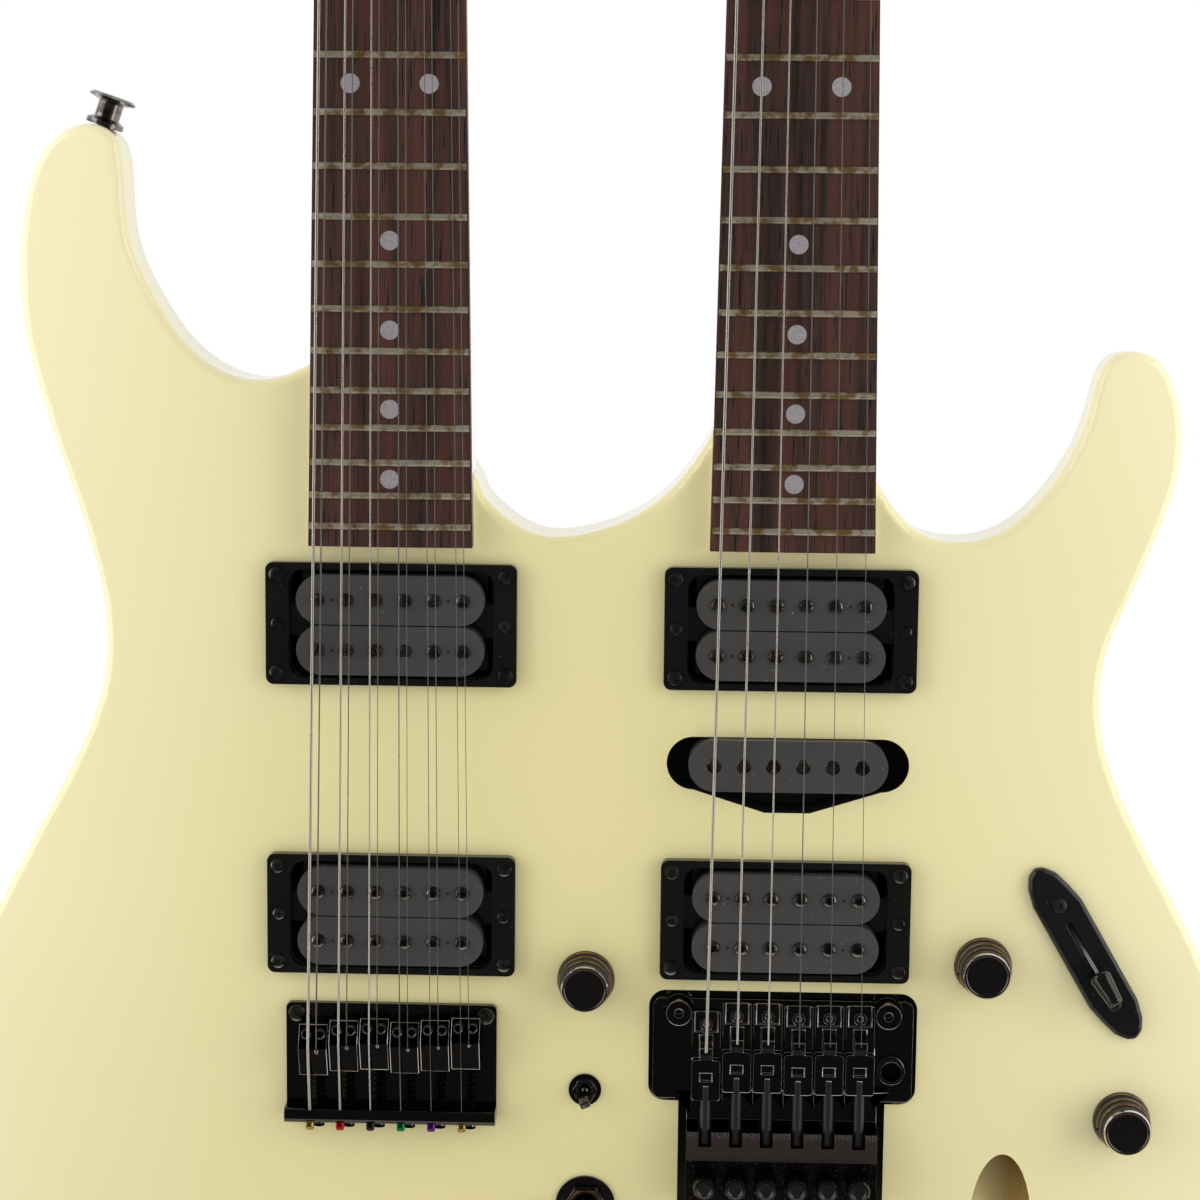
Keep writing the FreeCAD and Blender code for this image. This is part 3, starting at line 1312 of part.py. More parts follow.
def pair_saddle(course):
    """A block with a ridge under the strings, two height screws and a string hole."""
    x, half = course_centre(course), size.pair_saddle_width / 2
    front = saddle_z + size.pair_saddle_front - saddle_shift(course)
    rear = saddle_z - size.pair_saddle_rear - saddle_shift(course)
    shoulder = (saddle_top_y + saddle_low_y) / 2
    points = [Vector(x - half, saddle_low_y, rear), Vector(x - half, saddle_low_y, front),
              Vector(x - half, shoulder, front), Vector(x - half, saddle_top_y, pair_crest(course)),
              Vector(x - half, shoulder, rear)]
    stock = Part.Face(Part.makePolygon(points + points[:1])).extrude(X * 2 * half)
    tools = [rod(size.saddle_screw_radius + size.slip, Vector(p.x, saddle_top_y - size.overrun, p.z),
                 Vector(p.x, saddle_low_y + size.overrun, p.z))
             for p in saddle_screw_centres(course)]
    start, end = intonation_line(course)
    tools.append(rod(size.intonation_radius + size.slip, start, end + Z * size.slip))
    index = 2 * course + 1
    radius = string_lines("twelve")[index][0] + 2 * size.slip
    dive = (Y - Z).normalize() * size.overrun
    tools.append(rod(radius, string_break("twelve", index), string_anchor(index) + dive))
    return compound_cut(stock, tools)


def saddle_screws(course):
    shoulder = (saddle_top_y + saddle_low_y) / 2
    top = (shoulder + saddle_top_y) / 2
    return [rod(size.saddle_screw_radius, Vector(p.x, top, p.z),
                Vector(p.x, bridge_front_y, p.z)) for p in saddle_screw_centres(course)]


def intonation_screw(course):
    start, end = intonation_line(course)
    head = rod(size.intonation_head, start - Z * size.intonation_head_height, start)
    return head.fuse(rod(size.intonation_radius, start, end)).removeSplitter()


# Points read along a spring's centre line when its gaps are measured
GAP_POINTS = 240


def coil_line(start, direction, length, curls, radius):
    """The centre line of a helical spring, made of arcs of a quarter turn."""
    side = direction.cross(Y).normalize()
    up = direction.cross(side).normalize()
    steps = int(curls) * 4

    def point(share):
        turn = 2 * math.pi * curls * share
        offset = side * (radius * math.cos(turn)) + up * (radius * math.sin(turn))
        return start + direction * (length * share) + offset

    return [Part.Arc(point(i / steps), point((i + 0.5) / steps), point((i + 1) / steps)).toShape()
            for i in range(steps)]


def coil_tube(arcs, wire):
    """An unbroken round wire along a centre line."""
    first = arcs[0]
    circle = Part.Circle(first.valueAt(first.FirstParameter),
                         first.tangentAt(first.FirstParameter), wire / 2)
    return Part.Wire(arcs).makePipeShell([Part.Wire(circle.toShape())], True, False)


def least_gap(points, curls, wire):
    """The smallest distance between centre line points at least half a turn apart, less the wire."""
    apart = len(points) // (2 * int(curls))
    return min((p - q).Length for i, p in enumerate(points) for q in points[i + apart:]) - wire


spring_start = wall_front + size.spring_wire
saddle_pieces = []
spring_gaps = []
for course in range(6):
    start, end = intonation_line(course)
    rear = saddle_z - size.pair_saddle_rear - saddle_shift(course)
    spring_length = rear - wall_front - 2 * size.spring_wire
    saddle_pieces += [pair_saddle(course), intonation_screw(course)] + saddle_screws(course)
    line = coil_line(Vector(start.x, start.y, spring_start), Z, spring_length, size.spring_curls,
                     size.spring_radius)
    spring_gaps.append(least_gap(Part.Wire(line).discretize(Number=GAP_POINTS),
                                 size.spring_curls, size.spring_wire))
    saddle_pieces.append(coil_tube(line, size.spring_wire))
print("least gap between curls of the bridge springs", round(min(spring_gaps), 2))
keep("fixed_bridge_plate", shaped("fixed_bridge_base", fixed_bridge()))
keep("fixed_bridge_saddles", group("fixed_bridge_saddle_set", saddle_pieces))


# Tremolo bridge of the six-string neck

plate_front_y = face_y - size.plate_proud
plate_back_y = plate_front_y + size.plate_thick
tail_top_y = plate_front_y - size.tail_height


def saddle_centres():
    return [tremolo_x + (i - 2.5) * size.string_pitch_saddle for i in range(6)]


def fine_place(x):
    return Vector(x, tail_top_y, saddle_z - size.fine_rise)


def tremolo_base():
    """The base plate with its stud notches, arm socket and raised tail."""
    top, shoulder = saddle_z + size.tremolo_front, saddle_z - size.tremolo_shoulder
    wide = rounded(block(tremolo_x - size.tremolo_half, tremolo_x + size.tremolo_half,
                         plate_front_y, plate_back_y, shoulder, top), size.recess_corner / 2, Y)
    tail = block(tremolo_x - size.tail_half, tremolo_x + size.tail_half, plate_front_y,
                 plate_back_y, saddle_z - size.tail_end, shoulder + size.recess_corner)
    left, low = tremolo_x - size.tail_half, saddle_z - size.tail_end
    ridge = [Vector(left, plate_front_y, low), Vector(left, tail_top_y, low),
             Vector(left, tail_top_y, saddle_z - size.tail_front),
             Vector(left, plate_front_y, saddle_z - size.tail_front + size.tail_slope)]
    raised = Part.Face(Part.makePolygon(ridge + ridge[:1])).extrude(X * 2 * size.tail_half)
    raised = raised.makeFillet(size.tail_round, [e for e in raised.Edges if runs_along(e, X)
                                                 and e.Vertexes[0].Y < tail_top_y + size.slip
                                                 and e.Vertexes[0].Z < low + size.slip])
    socket_x, socket_z = tremolo_x + size.arm_offset, saddle_z - size.arm_drop
    socket_top = plate_front_y - (size.arm_length - size.plate_thick) / 2
    socket = rod(size.arm_bore + size.arm_wall, Vector(socket_x, socket_top, socket_z),
                 Vector(socket_x, socket_top + size.arm_length, socket_z))
    tools = [rod(size.arm_bore, Vector(socket_x, socket_top - size.overrun, socket_z),
                 Vector(socket_x, socket_top + size.arm_length + size.overrun, socket_z))]
    for p in stud_places():
        tools.append(rod(size.stud_notch, Vector(p.x, plate_front_y - size.overrun, p.z),
                         Vector(p.x, plate_back_y + size.overrun, p.z)))
    for x in saddle_centres():
        slot = size.lock_slot_width / 2
        tools.append(block(x - slot, x + slot, tail_top_y - size.overrun,
                           plate_front_y - size.base_thick,
                           saddle_z - size.tail_front - size.lock_slot_length,
                           saddle_z - size.tail_front + size.tail_slope + size.overrun))
        start = fine_place(x)
        tools.append(rod(size.fine_screw_radius + size.slip, start - Y * size.overrun,
                         start + Y * (size.fine_screw_length + size.overrun)))
    return compound_cut(wide.fuse([tail, raised, socket]), tools).removeSplitter()


def locking_saddle(course):
    """A screwed-down channel in front, a narrow crest and a clamp block with a square hole."""
    x, crest = saddle_centres()[course], lock_crest(course)
    half, rail = size.lock_saddle_width / 2, size.lock_rail
    front, rear = crest + size.lock_saddle_front, crest - size.lock_saddle_rear
    tongue_y = plate_front_y - size.lock_saddle_tongue
    hump = (saddle_top_y + tongue_y) / 2
    tongue = block(x - half, x + half, tongue_y, plate_front_y, rear, front)
    clamp = rounded(block(x - half, x + half, hump, plate_front_y, rear, crest - size.lock_fork),
                    rail, Y)
    middle = x - size.lock_crest_width / 2
    ridge = [Vector(middle, y, crest + z) for y, z in (
        (plate_front_y, size.lock_fork), (tongue_y, size.lock_fork), (saddle_top_y, size.fret_width / 2),
        (saddle_top_y, -size.fret_width / 2), (hump, -size.lock_fork), (hump, -2 * size.lock_fork),
        (plate_front_y, -2 * size.lock_fork))]
    crown = Part.Face(Part.makePolygon(ridge + ridge[:1])).extrude(X * size.lock_crest_width)
    stock = tongue.fuse([clamp, crown]).removeSplitter()
    start, end = lock_screw_line(course)
    hole, hole_z = size.lock_hole_width / 2, rear + size.lock_hole_rise
    hold, foot = hold_screw_line(course)
    tools = [rod(size.lock_screw_radius + size.slip, start, end),
             block(x - half + rail, x + half - rail, tongue_y - size.overrun,
                   tongue_y + size.lock_channel, crest + size.lock_fork + rail, front + size.overrun),
             block(x - hole, x + hole, hump - size.overrun, hump + size.lock_hole_depth, hole_z,
                   hole_z + size.lock_hole_length),
             rod(size.screw_shank + size.slip, hold, foot + Y * size.overrun)]
    return compound_cut(stock, tools)


def hold_screw_line(course):
    """The screw in a saddle's channel, from the top of its head's seat to the plate."""
    x, z = saddle_centres()[course], lock_crest(course) + size.hold_screw_rise
    floor = plate_front_y - size.lock_saddle_tongue + size.lock_channel
    return Vector(x, floor, z), Vector(x, plate_front_y, z)


def hold_screw(course):
    seat, foot = hold_screw_line(course)
    head = rod(size.hold_screw_head, seat - Y * size.hold_screw_height, seat)
    key = rod(size.hold_screw_key, seat - Y * (size.hold_screw_height + size.overrun),
              seat - Y * size.hold_screw_height / 3)
    return head.cut(key).fuse(rod(size.screw_shank, seat, foot)).removeSplitter()


def lock_screw_line(course):
    x, y = saddle_centres()[course], plate_front_y - size.lock_screw_height
    tip = lock_crest(course) - size.lock_saddle_rear + size.lock_saddle_width / 2
    tail = saddle_z - size.tail_front - size.lock_slot_length + size.seat_gap
    return Vector(x, y, tail), Vector(x, y, tip)


lock_pieces = []
for course in range(6):
    start, end = lock_screw_line(course)
    lock_pieces += [locking_saddle(course), hold_screw(course),
                    rod(size.lock_screw_radius, start, end - Z * size.slip)]
keep("tremolo_base_plate", shaped("tremolo_base", tremolo_base()))
keep("tremolo_saddles", group("tremolo_saddle_set", lock_pieces))

sustain = box("sustain_stock", "2 * size.block_half", "size.block_depth", "size.block_thick",
              "size.neck_spacing / 2 - size.block_half",
              f"{FACE} - size.plate_proud + size.plate_thick",
              "size.saddle_rise - size.block_front - size.block_thick")
keep("sustain_block", sustain)

FINE_PROFILE = [("0", "-size.fine_screw_length"),
                ("size.fine_screw_radius", "-size.fine_screw_length"),
                ("size.fine_screw_radius", "size.fine_lift"),
                ("size.fine_head_radius", "size.fine_lift"),
                ("size.fine_head_radius", "size.fine_head_height"),
                ("size.fine_head_radius * size.fine_top_share",
                 "size.fine_head_height + size.fine_lift * 2"),
                ("0", "size.fine_head_height + size.fine_lift * 2")]
for i in range(6):
    screw = turned(f"fine_tuner_{i + 1}_piece", FINE_PROFILE,
                   f"size.neck_spacing / 2 + ({i} - 2.5) * size.string_pitch_saddle",
                   f"{FACE} - size.plate_proud - size.tail_height",
                   "size.saddle_rise - size.fine_rise", Rotation(X, 90))
    keep(f"fine_tuner_{i + 1}", screw)


def stud(place):
    """A pivot stud with a grooved waist, screwed into its anchor."""
    floor = place + Y * size.recess_depth
    waist_low = Vector(place.x, plate_back_y + size.seat_gap * 2, place.z)
    waist_top = Vector(place.x, plate_front_y - size.seat_gap * 2, place.z)
    pieces = [rod(size.anchor_radius, floor, floor + Y * size.anchor_depth),
              rod(size.stud_head_radius, waist_low, floor),
              rod(size.stud_waist, waist_top, waist_low),
              rod(size.stud_head_radius, waist_top - Y * size.stud_head_height, waist_top)]
    key_hole = rod(size.stud_waist / 2, waist_top - Y * (size.stud_head_height + size.overrun),
                   waist_top - Y * size.stud_head_height / 3)
    return pieces[0].fuse(pieces[1:]).cut(key_hole).removeSplitter()


keep("tremolo_studs", group("tremolo_stud_pair", [stud(p) for p in stud_places()]))

spring_y = back_y - size.spring_room_depth / 2 - size.cover_thick / 2
claw_z = saddle_z + size.claw_rise


def claw_pieces():
    claw = block(tremolo_x - size.claw_half, tremolo_x + size.claw_half,
                 spring_y - size.claw_height / 2, spring_y + size.claw_height / 2, claw_z,
                 claw_z + size.claw_thick)
    pieces = []
    bores = []
    for side in (-1, 1):
        x = tremolo_x + side * size.claw_screw_spread / 2
        start = Vector(x, spring_y, claw_z - size.claw_thick)
        end = Vector(x, spring_y, saddle_z + size.spring_room_top + size.claw_screw_bite)
        bores.append(rod(size.claw_screw_radius + size.slip, start, end))
        head = rod(size.claw_screw_radius * 2, start, start + Z * size.claw_thick)
        pieces.append(head.fuse(rod(size.claw_screw_radius, start, end)).removeSplitter())
    return [compound_cut(claw, bores)] + pieces


def tremolo_spring(step):
    """One extension spring's outer form, between the block and the claw."""
    x = tremolo_x + step * size.tremolo_spring_pitch
    low = saddle_z - size.block_front + size.seat_gap
    return rod(size.tremolo_spring_radius, Vector(x, spring_y, low),
               Vector(x, spring_y, claw_z - size.seat_gap))


keep("spring_claw", group("spring_claw_set", claw_pieces()))
keep("tremolo_springs", group("tremolo_spring_set",
                              [tremolo_spring(step) for step in (-0.5, 0.5)]))


# Controls

KNOB_PROFILE = [
    ("size.pot_shaft_radius", "size.knob_lift"), ("size.knob_skirt", "size.knob_lift"),
    ("size.knob_skirt", "size.knob_skirt_height"),
    ("size.knob_waist", "size.knob_skirt_height + size.knob_lift"),
    ("size.knob_waist", "size.knob_skirt_height + size.knob_ridge_pitch / 2"),
    ("size.knob_lip", "size.knob_skirt_height + size.knob_ridge_pitch / 2 + size.knob_lift"),
    ("size.knob_lip", "size.knob_skirt_height + size.knob_ridge_pitch"),
    ("size.knob_waist", "size.knob_skirt_height + size.knob_ridge_pitch + size.knob_lift"),
    ("size.knob_waist", "size.knob_skirt_height + size.knob_ridge_pitch * 1.5"),
    ("size.knob_lip - size.knob_lift",
     "size.knob_skirt_height + size.knob_ridge_pitch * 1.5 + size.knob_lift"),
    ("size.knob_lip - size.knob_lift", "size.knob_skirt_height + size.knob_ridge_pitch * 2"),
    ("size.knob_cap", "size.knob_skirt_height + size.knob_ridge_pitch * 2 + size.knob_lift"),
    ("size.knob_cap", "size.knob_height - size.knob_lift"),
    ("size.knob_cap - size.knob_lift", "size.knob_height"), ("0", "size.knob_height"),
    ("0", "size.knob_bore_depth"), ("size.pot_shaft_radius", "size.knob_bore_depth"),
]
POT_PROFILE = [
    ("size.pot_shaft_radius + size.slip", "-size.pot_wall - size.pot_height / 2"),
    ("size.pot_shaft_radius + size.slip", "-size.knob_lift"),
    ("size.pot_bushing_radius", "-size.knob_lift"), ("size.pot_bushing_radius", "-size.pot_wall"),
    ("size.pot_radius", "-size.pot_wall"), ("size.pot_radius", "-size.pot_wall - size.pot_height"),
    ("0", "-size.pot_wall - size.pot_height"), ("0", "-size.pot_wall - size.pot_height / 2"),
]
control_parts = []
for name, (x, z) in KNOBS.items():
    place = knob_place(name)
    cap = turned(name + "_cap", KNOB_PROFILE)
    shaft = cylinder(name + "_shaft", "size.pot_shaft_radius",
                     "size.knob_bore_depth + size.pot_wall + size.pot_height / 2 - size.slip",
                     "0", "0", "-size.pot_wall - size.pot_height / 2 + size.slip")
    knob = doc.addObject("Part::Compound", name + "_piece")
    knob.Links = [cap, shaft]
    knob.Placement = place
    knob.setExpression("Placement.Base.x", x)
    knob.setExpression("Placement.Base.z", f"size.saddle_rise + {z}")
    keep(name, knob)
    control_parts.append((turned(name + "_pot", POT_PROFILE), place))


def hexagon(radius, thick):
    points = [Vector(radius * math.cos(math.radians(60 * i)),
                     radius * math.sin(math.radians(60 * i)), 0) for i in range(6)]
    return Part.Face(Part.makePolygon(points + points[:1])).extrude(Z * thick)


def toggle_mount(prefix):
    """Washer, nut and threaded bushing with a socket for the lever's ball, and the housing."""
    def of(part):
        return float(sheet.get(f"{prefix}_{part}"))

    seat = Placement(Vector(of("x"), face_y, saddle_z + of("z")), Rotation(X, 90))
    ball, bushing, depth = of("ball"), of("bushing"), of("housing_depth")
    washer = Part.makeCylinder(of("washer"), of("washer_thick"))
    nut = hexagon(of("nut"), of("nut_thick"))
    nut.translate(Z * of("washer_thick"))
    top = of("washer_thick") + of("nut_thick") + size.slip * 10
    tube = Part.makeCylinder(bushing, size.front_wall + top, Z * -size.front_wall)
    case = block(-of("housing") / 2, of("housing") / 2, -of("housing_length") / 2,
                 of("housing_length") / 2, -size.front_wall - depth, -size.front_wall)
    pivot = Z * toggle_pivot(prefix)
    room = Part.makeSphere(ball + size.seat_gap, pivot)
    mouth = ball * size.ball_mouth_share
    flare = Part.makeCone(mouth, mouth + top, top + size.overrun, pivot)
    bore = Part.makeCylinder(bushing + size.slip, of("washer_thick") + of("nut_thick"))
    ring = washer.fuse(nut).cut(bore)
    hollow = tube.fuse(case).cut(room.fuse(flare)).removeSplitter()
    ring = ring.removeSplitter()
    return [s.transformed(seat.toMatrix()) for s in (hollow, ring)]


def toggle_pivot(prefix):
    """Height of a lever's ball centre above the face, inside its bushing."""
    top = float(sheet.get(f"{prefix}_washer_thick")) + float(sheet.get(f"{prefix}_nut_thick"))
    return top - float(sheet.get(f"{prefix}_ball")) - size.seat_gap


def blade_switch_case():
    """A slim housing under the face, with a room for the lever and a pivot pin."""
    half, width = size.blade_housing_half - size.seat_gap, size.blade_housing_width / 2
    width -= size.seat_gap
    depth = size.blade_housing_depth - size.seat_gap
    case = block(-width, width, 0, depth, -half, half)
    room = size.blade_thick / 2 + size.seat_gap
    gap = block(-room, room, -size.overrun, depth - size.base_thick, -half + size.base_thick,
                half - size.base_thick)
    pivot = Vector(0, size.blade_pivot_depth, size.blade_pivot_rise)
    pin = rod(size.blade_pin, pivot - X * width, pivot + X * width)
    return case.cut(gap).fuse(pin).removeSplitter().transformed(blade_place.toMatrix())


doc.recompute()
control_shapes = [pot.Shape.transformed(place.toMatrix()) for pot, place in control_parts]
control_shapes += toggle_mount("toggle") + toggle_mount("selector") + [blade_switch_case()]
keep("pots_and_switches", group("pot_and_switch_set", control_shapes))


def lever_place(prefix):
    """A lever's ball centre, with its length leaned down along the face."""
    x, z = float(sheet.get(prefix + "_x")), saddle_z + float(sheet.get(prefix + "_z"))
    seat = Vector(x, face_y - toggle_pivot(prefix), z)
    return Placement(seat, Rotation(X, 90 + float(sheet.get(prefix + "_lean"))))


for prefix, node in (("toggle", "mini_toggle_lever"), ("selector", "neck_selector_lever")):
    bat = turned(node + "_bat", [
        ("0", "0"), (f"size.{prefix}_neck", "0"), (f"size.{prefix}_neck", f"size.{prefix}_ball * 2"),
        (f"size.{prefix}_tip", f"size.{prefix}_reach - size.{prefix}_tip"),
        (f"size.{prefix}_tip * size.tip_wide_share",
         f"size.{prefix}_reach - size.{prefix}_tip * size.tip_end_share"),
        (f"size.{prefix}_tip * size.tip_end_share", f"size.{prefix}_reach"),
        ("0", f"size.{prefix}_reach")])
    ball = doc.addObject("Part::Sphere", node + "_ball")
    ball.setExpression("Radius", f"size.{prefix}_ball")
    lever = fuse(node + "_piece", [bat, ball])
    lever.Placement = lever_place(prefix)
    keep(node, lever)


# Blade switch cover: a long boat shape whose ends narrow to skewed blunt points
BLADE_COVER_SHARES = [(-0.49, 0.66), (-0.40, 0.84), (-0.26, 0.95), (-0.06, 1.0), (0.10, 0.965),
                      (0.28, 0.86), (0.39, 0.69), (0.48, 0.50)]


def blade_cover():
    points = [Vector(side * x * size.blade_cover_width, 0, side * z * size.blade_cover_half)
              for side in (1, -1) for x, z in BLADE_COVER_SHARES]
    stock = prism(points, size.blade_cover_thick)
    stock = rounded(stock, size.blade_cover_corner, Y)
    rim = [e for e in stock.Edges if e.Vertexes[0].Y < size.slip and e.Vertexes[-1].Y < size.slip]
    stock = stock.makeFillet(size.blade_cover_round, rim)
    slot = block(-size.blade_slot_width / 2, size.blade_slot_width / 2, -size.overrun,
                 size.blade_cover_thick + size.overrun, -size.blade_slot_half,
                 size.blade_slot_half)
    drills = [rod(size.screw_shank + size.slip, Vector(0, -size.overrun, s * size.blade_screw_offset),
                  Vector(0, size.blade_cover_thick + size.overrun, s * size.blade_screw_offset))
              for s in (-1, 1)]
    shape = compound_cut(stock, [slot] + drills)
    shape.translate(Y * -size.blade_cover_thick)
    return shape.transformed(blade_place.toMatrix())


def blade_lever():
    """A thin arm on the pivot pin, leaned towards the slot's low end, with a tapered tip."""
    half_t, half_w = size.blade_thick / 2, size.blade_width / 2
    arm = block(-half_t, half_t, -size.blade_reach, 0, -half_w, half_w)
    eye = rod(half_w, -X * half_t, X * half_t)
    bore = rod(size.blade_pin + size.slip, -X * half_w, X * half_w)
    wide, narrow, long = size.blade_tip_radius, size.blade_tip_end, size.blade_tip_half
    tip = Part.makeCone(wide, narrow, 2 * long, Y * long, -Y)
    tip = tip.makeFillet(size.blade_cover_round, [e for e in tip.Edges if e.Closed])
    tip.translate(Y * -size.blade_reach)
    shape = arm.fuse([eye, tip]).cut(bore).removeSplitter()
    shape.rotate(ORIGIN, X, size.blade_lean)
    shape.translate(Y * size.blade_pivot_depth + Z * size.blade_pivot_rise)
    return shape.transformed(blade_place.toMatrix())


keep("blade_switch_cover", shaped("blade_cover", blade_cover()))
keep("blade_switch_lever", shaped("blade_lever", blade_lever()))


# Output jack: a tube with a plug bore and a hexagon nut on the scoop's end wall

def output_jack():
    barrel = Part.makeCylinder(size.jack_radius, size.jack_length + size.jack_nut_thick,
                               Z * -size.jack_length)
    nut = hexagon(size.jack_nut, size.jack_nut_thick)
    bore = Part.makeCylinder(size.jack_bore, size.jack_bore_depth + size.overrun,
                             Z * (size.jack_nut_thick - size.jack_bore_depth))
    shape = barrel.fuse(nut).cut(bore).removeSplitter()
    shape.rotate(ORIGIN, Z, size.jack_nut_turn)
    return shape.transformed(jack_place.toMatrix())


keep("output_jack", shaped("jack_tube", output_jack()))

BUTTON_PROFILE = [
    ("size.button_screw + size.slip", "size.slip"), ("size.button_base", "size.slip"),
    ("size.button_base", "size.button_base_height * size.button_cone_share"),
    ("size.button_neck", "size.button_base_height"),
    ("size.button_neck", "size.button_height - size.button_flange_thick"),
    ("size.button_flange",
     "size.button_height - size.button_flange_thick * size.flange_low_share"),
    ("size.button_flange",
     "size.button_height - size.button_flange_thick * size.flange_high_share"),
    ("size.button_flange - size.button_flange_thick / 2", "size.button_height"),
    ("size.button_screw_head + size.slip", "size.button_height"),
    ("size.button_screw_head + size.slip", "size.button_height - size.button_sink"),
    ("size.button_screw + size.slip", "size.button_height - size.button_sink")]
button_pieces = [turned(f"strap_button_{i}", BUTTON_PROFILE) for i in range(2)]
doc.recompute()
keep("strap_buttons", group("strap_button_pair", [
    piece.Shape.transformed(place.toMatrix())
    for piece, place in zip(button_pieces, button_places())]))


# Back covers, screws and neck bolts

def back_covers():
    covers = []
    for outline in cover_outlines():
        drills = []
        for place in cover_screw_places():
            normal = back_normal(place.x)
            drills.append(rod(size.screw_shank + size.slip, place + normal * size.overrun,
                              place - normal * (size.cover_thick + size.overrun)))
        covers.append(compound_cut(cover_band(outline, size.cover_thick), drills))
    return covers


def screw(place, inward, length, head_radius=size.screw_head):
    """A round-headed screw seated at a place, its shank pointing inward."""
    head = rod(head_radius, place - inward * size.screw_head_height, place)
    return head.fuse(rod(size.screw_shank, place, place + inward * length)).removeSplitter()


def all_screws():
    screws = [screw(p, Y, size.screw_length) for p in ring_screw_places()]
    screws += [screw(p, Y, size.screw_length, size.bridge_screw_head)
               for p in bridge_screw_places()]
    reach = coil_low_y + size.base_thick + size.overrun - (face_y - size.ring_thick)
    screws += [screw(p, Y, reach) for p in height_screw_places()]
    inward = blade_turn.multVec(Y)
    screws += [screw(p, inward, size.screw_length) for p in blade_screw_places()]
    for place in cover_screw_places():
        normal = back_normal(place.x)
        screws.append(screw(place, -normal, size.screw_length))
    low = size.button_height - size.button_sink
    for place in button_places():
        head = Part.makeCylinder(size.button_screw_head, size.button_sink, Z * low)
        shank = Part.makeCylinder(size.button_screw, size.button_screw_length - size.overrun * 2,
                                  Z * (low - size.button_screw_length + size.overrun * 2))
        screws.append(head.fuse(shank).removeSplitter().transformed(place.toMatrix()))
    return screws


def neck_bolt(place):
    """A bolt with its ferrule, sunk in the back behind a neck joint."""
    inner = place - Y * size.ferrule_thick
    ferrule = rod(size.ferrule_radius, inner, place)
    shank = rod(size.bolt_radius, inner - Y * size.bolt_length, inner)
    return ferrule.fuse(shank).removeSplitter()


keep("rear_covers", group("rear_cover_set", back_covers()))
keep("mounting_screws", group("mounting_screw_set", all_screws()))
keep("neck_bolts", group("neck_bolt_set", [neck_bolt(p) for p in neck_bolt_places()]))


# Check and write

doc.recompute()
for obj in doc.Objects:
    if "Invalid" in obj.State or "Error" in obj.State:
        raise RuntimeError(f"{obj.Name} failed: {obj.State}")
for node, obj in nodes.items():
    if obj.Shape.isNull() or not obj.Shape.isValid() or not obj.Shape.Solids:
        raise RuntimeError(f"{node} has no sound solid")
for node, obj in nodes.items():
    obj.Shape.exportStep(f"parts/{node}.step")
print(len(nodes), "nodes written")
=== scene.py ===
"""Looks of the double-neck guitar: finishes, small detail pieces, stage and camera."""
import json
import math
import random

import bpy
import numpy as np
from bpy.props import FloatProperty, FloatVectorProperty, IntProperty, PointerProperty
from mathutils import Matrix, Vector


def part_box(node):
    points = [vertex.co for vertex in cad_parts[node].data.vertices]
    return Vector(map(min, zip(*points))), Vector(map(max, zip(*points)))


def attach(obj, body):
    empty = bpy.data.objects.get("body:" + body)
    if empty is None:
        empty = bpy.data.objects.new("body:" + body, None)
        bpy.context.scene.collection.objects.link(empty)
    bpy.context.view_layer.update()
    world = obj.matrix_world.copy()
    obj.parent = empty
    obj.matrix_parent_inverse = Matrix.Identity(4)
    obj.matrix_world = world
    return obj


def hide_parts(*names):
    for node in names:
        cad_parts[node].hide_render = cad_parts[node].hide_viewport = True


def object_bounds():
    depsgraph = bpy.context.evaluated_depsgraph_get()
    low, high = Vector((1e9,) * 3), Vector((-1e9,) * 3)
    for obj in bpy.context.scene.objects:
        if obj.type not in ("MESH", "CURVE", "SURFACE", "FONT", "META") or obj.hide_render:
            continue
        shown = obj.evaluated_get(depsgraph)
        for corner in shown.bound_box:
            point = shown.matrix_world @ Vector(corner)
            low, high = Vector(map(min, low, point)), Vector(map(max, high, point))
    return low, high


bl_info = {
    "name": "Double-neck guitar",
    "version": (1, 0, 0),
    "blender": (4, 5, 0),
    "location": "3D View > Sidebar > Guitar",
    "description": "Dresses the packed double-neck guitar with its finishes and small parts",
    "category": "Object",
}

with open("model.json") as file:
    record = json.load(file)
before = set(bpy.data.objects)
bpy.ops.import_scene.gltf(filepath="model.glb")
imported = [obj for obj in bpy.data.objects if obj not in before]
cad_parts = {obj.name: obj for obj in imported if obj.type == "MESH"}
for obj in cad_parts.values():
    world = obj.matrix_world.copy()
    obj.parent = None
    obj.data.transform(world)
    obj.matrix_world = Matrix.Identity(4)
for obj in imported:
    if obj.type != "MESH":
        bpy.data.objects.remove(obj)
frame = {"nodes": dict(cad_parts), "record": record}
CAD_BOX = [list(corner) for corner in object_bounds()]
NODES = frame["nodes"]
RECORD = frame["record"]
BODY_OF = {node: body for body, names in RECORD["behaviour"]["bodies"].items() for node in names}

MM = 0.001
FACE_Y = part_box("body")[0].y
SADDLE_Z = 146.0 * MM
TWELVE_X, SIX_X = -70.15 * MM, 70.15 * MM

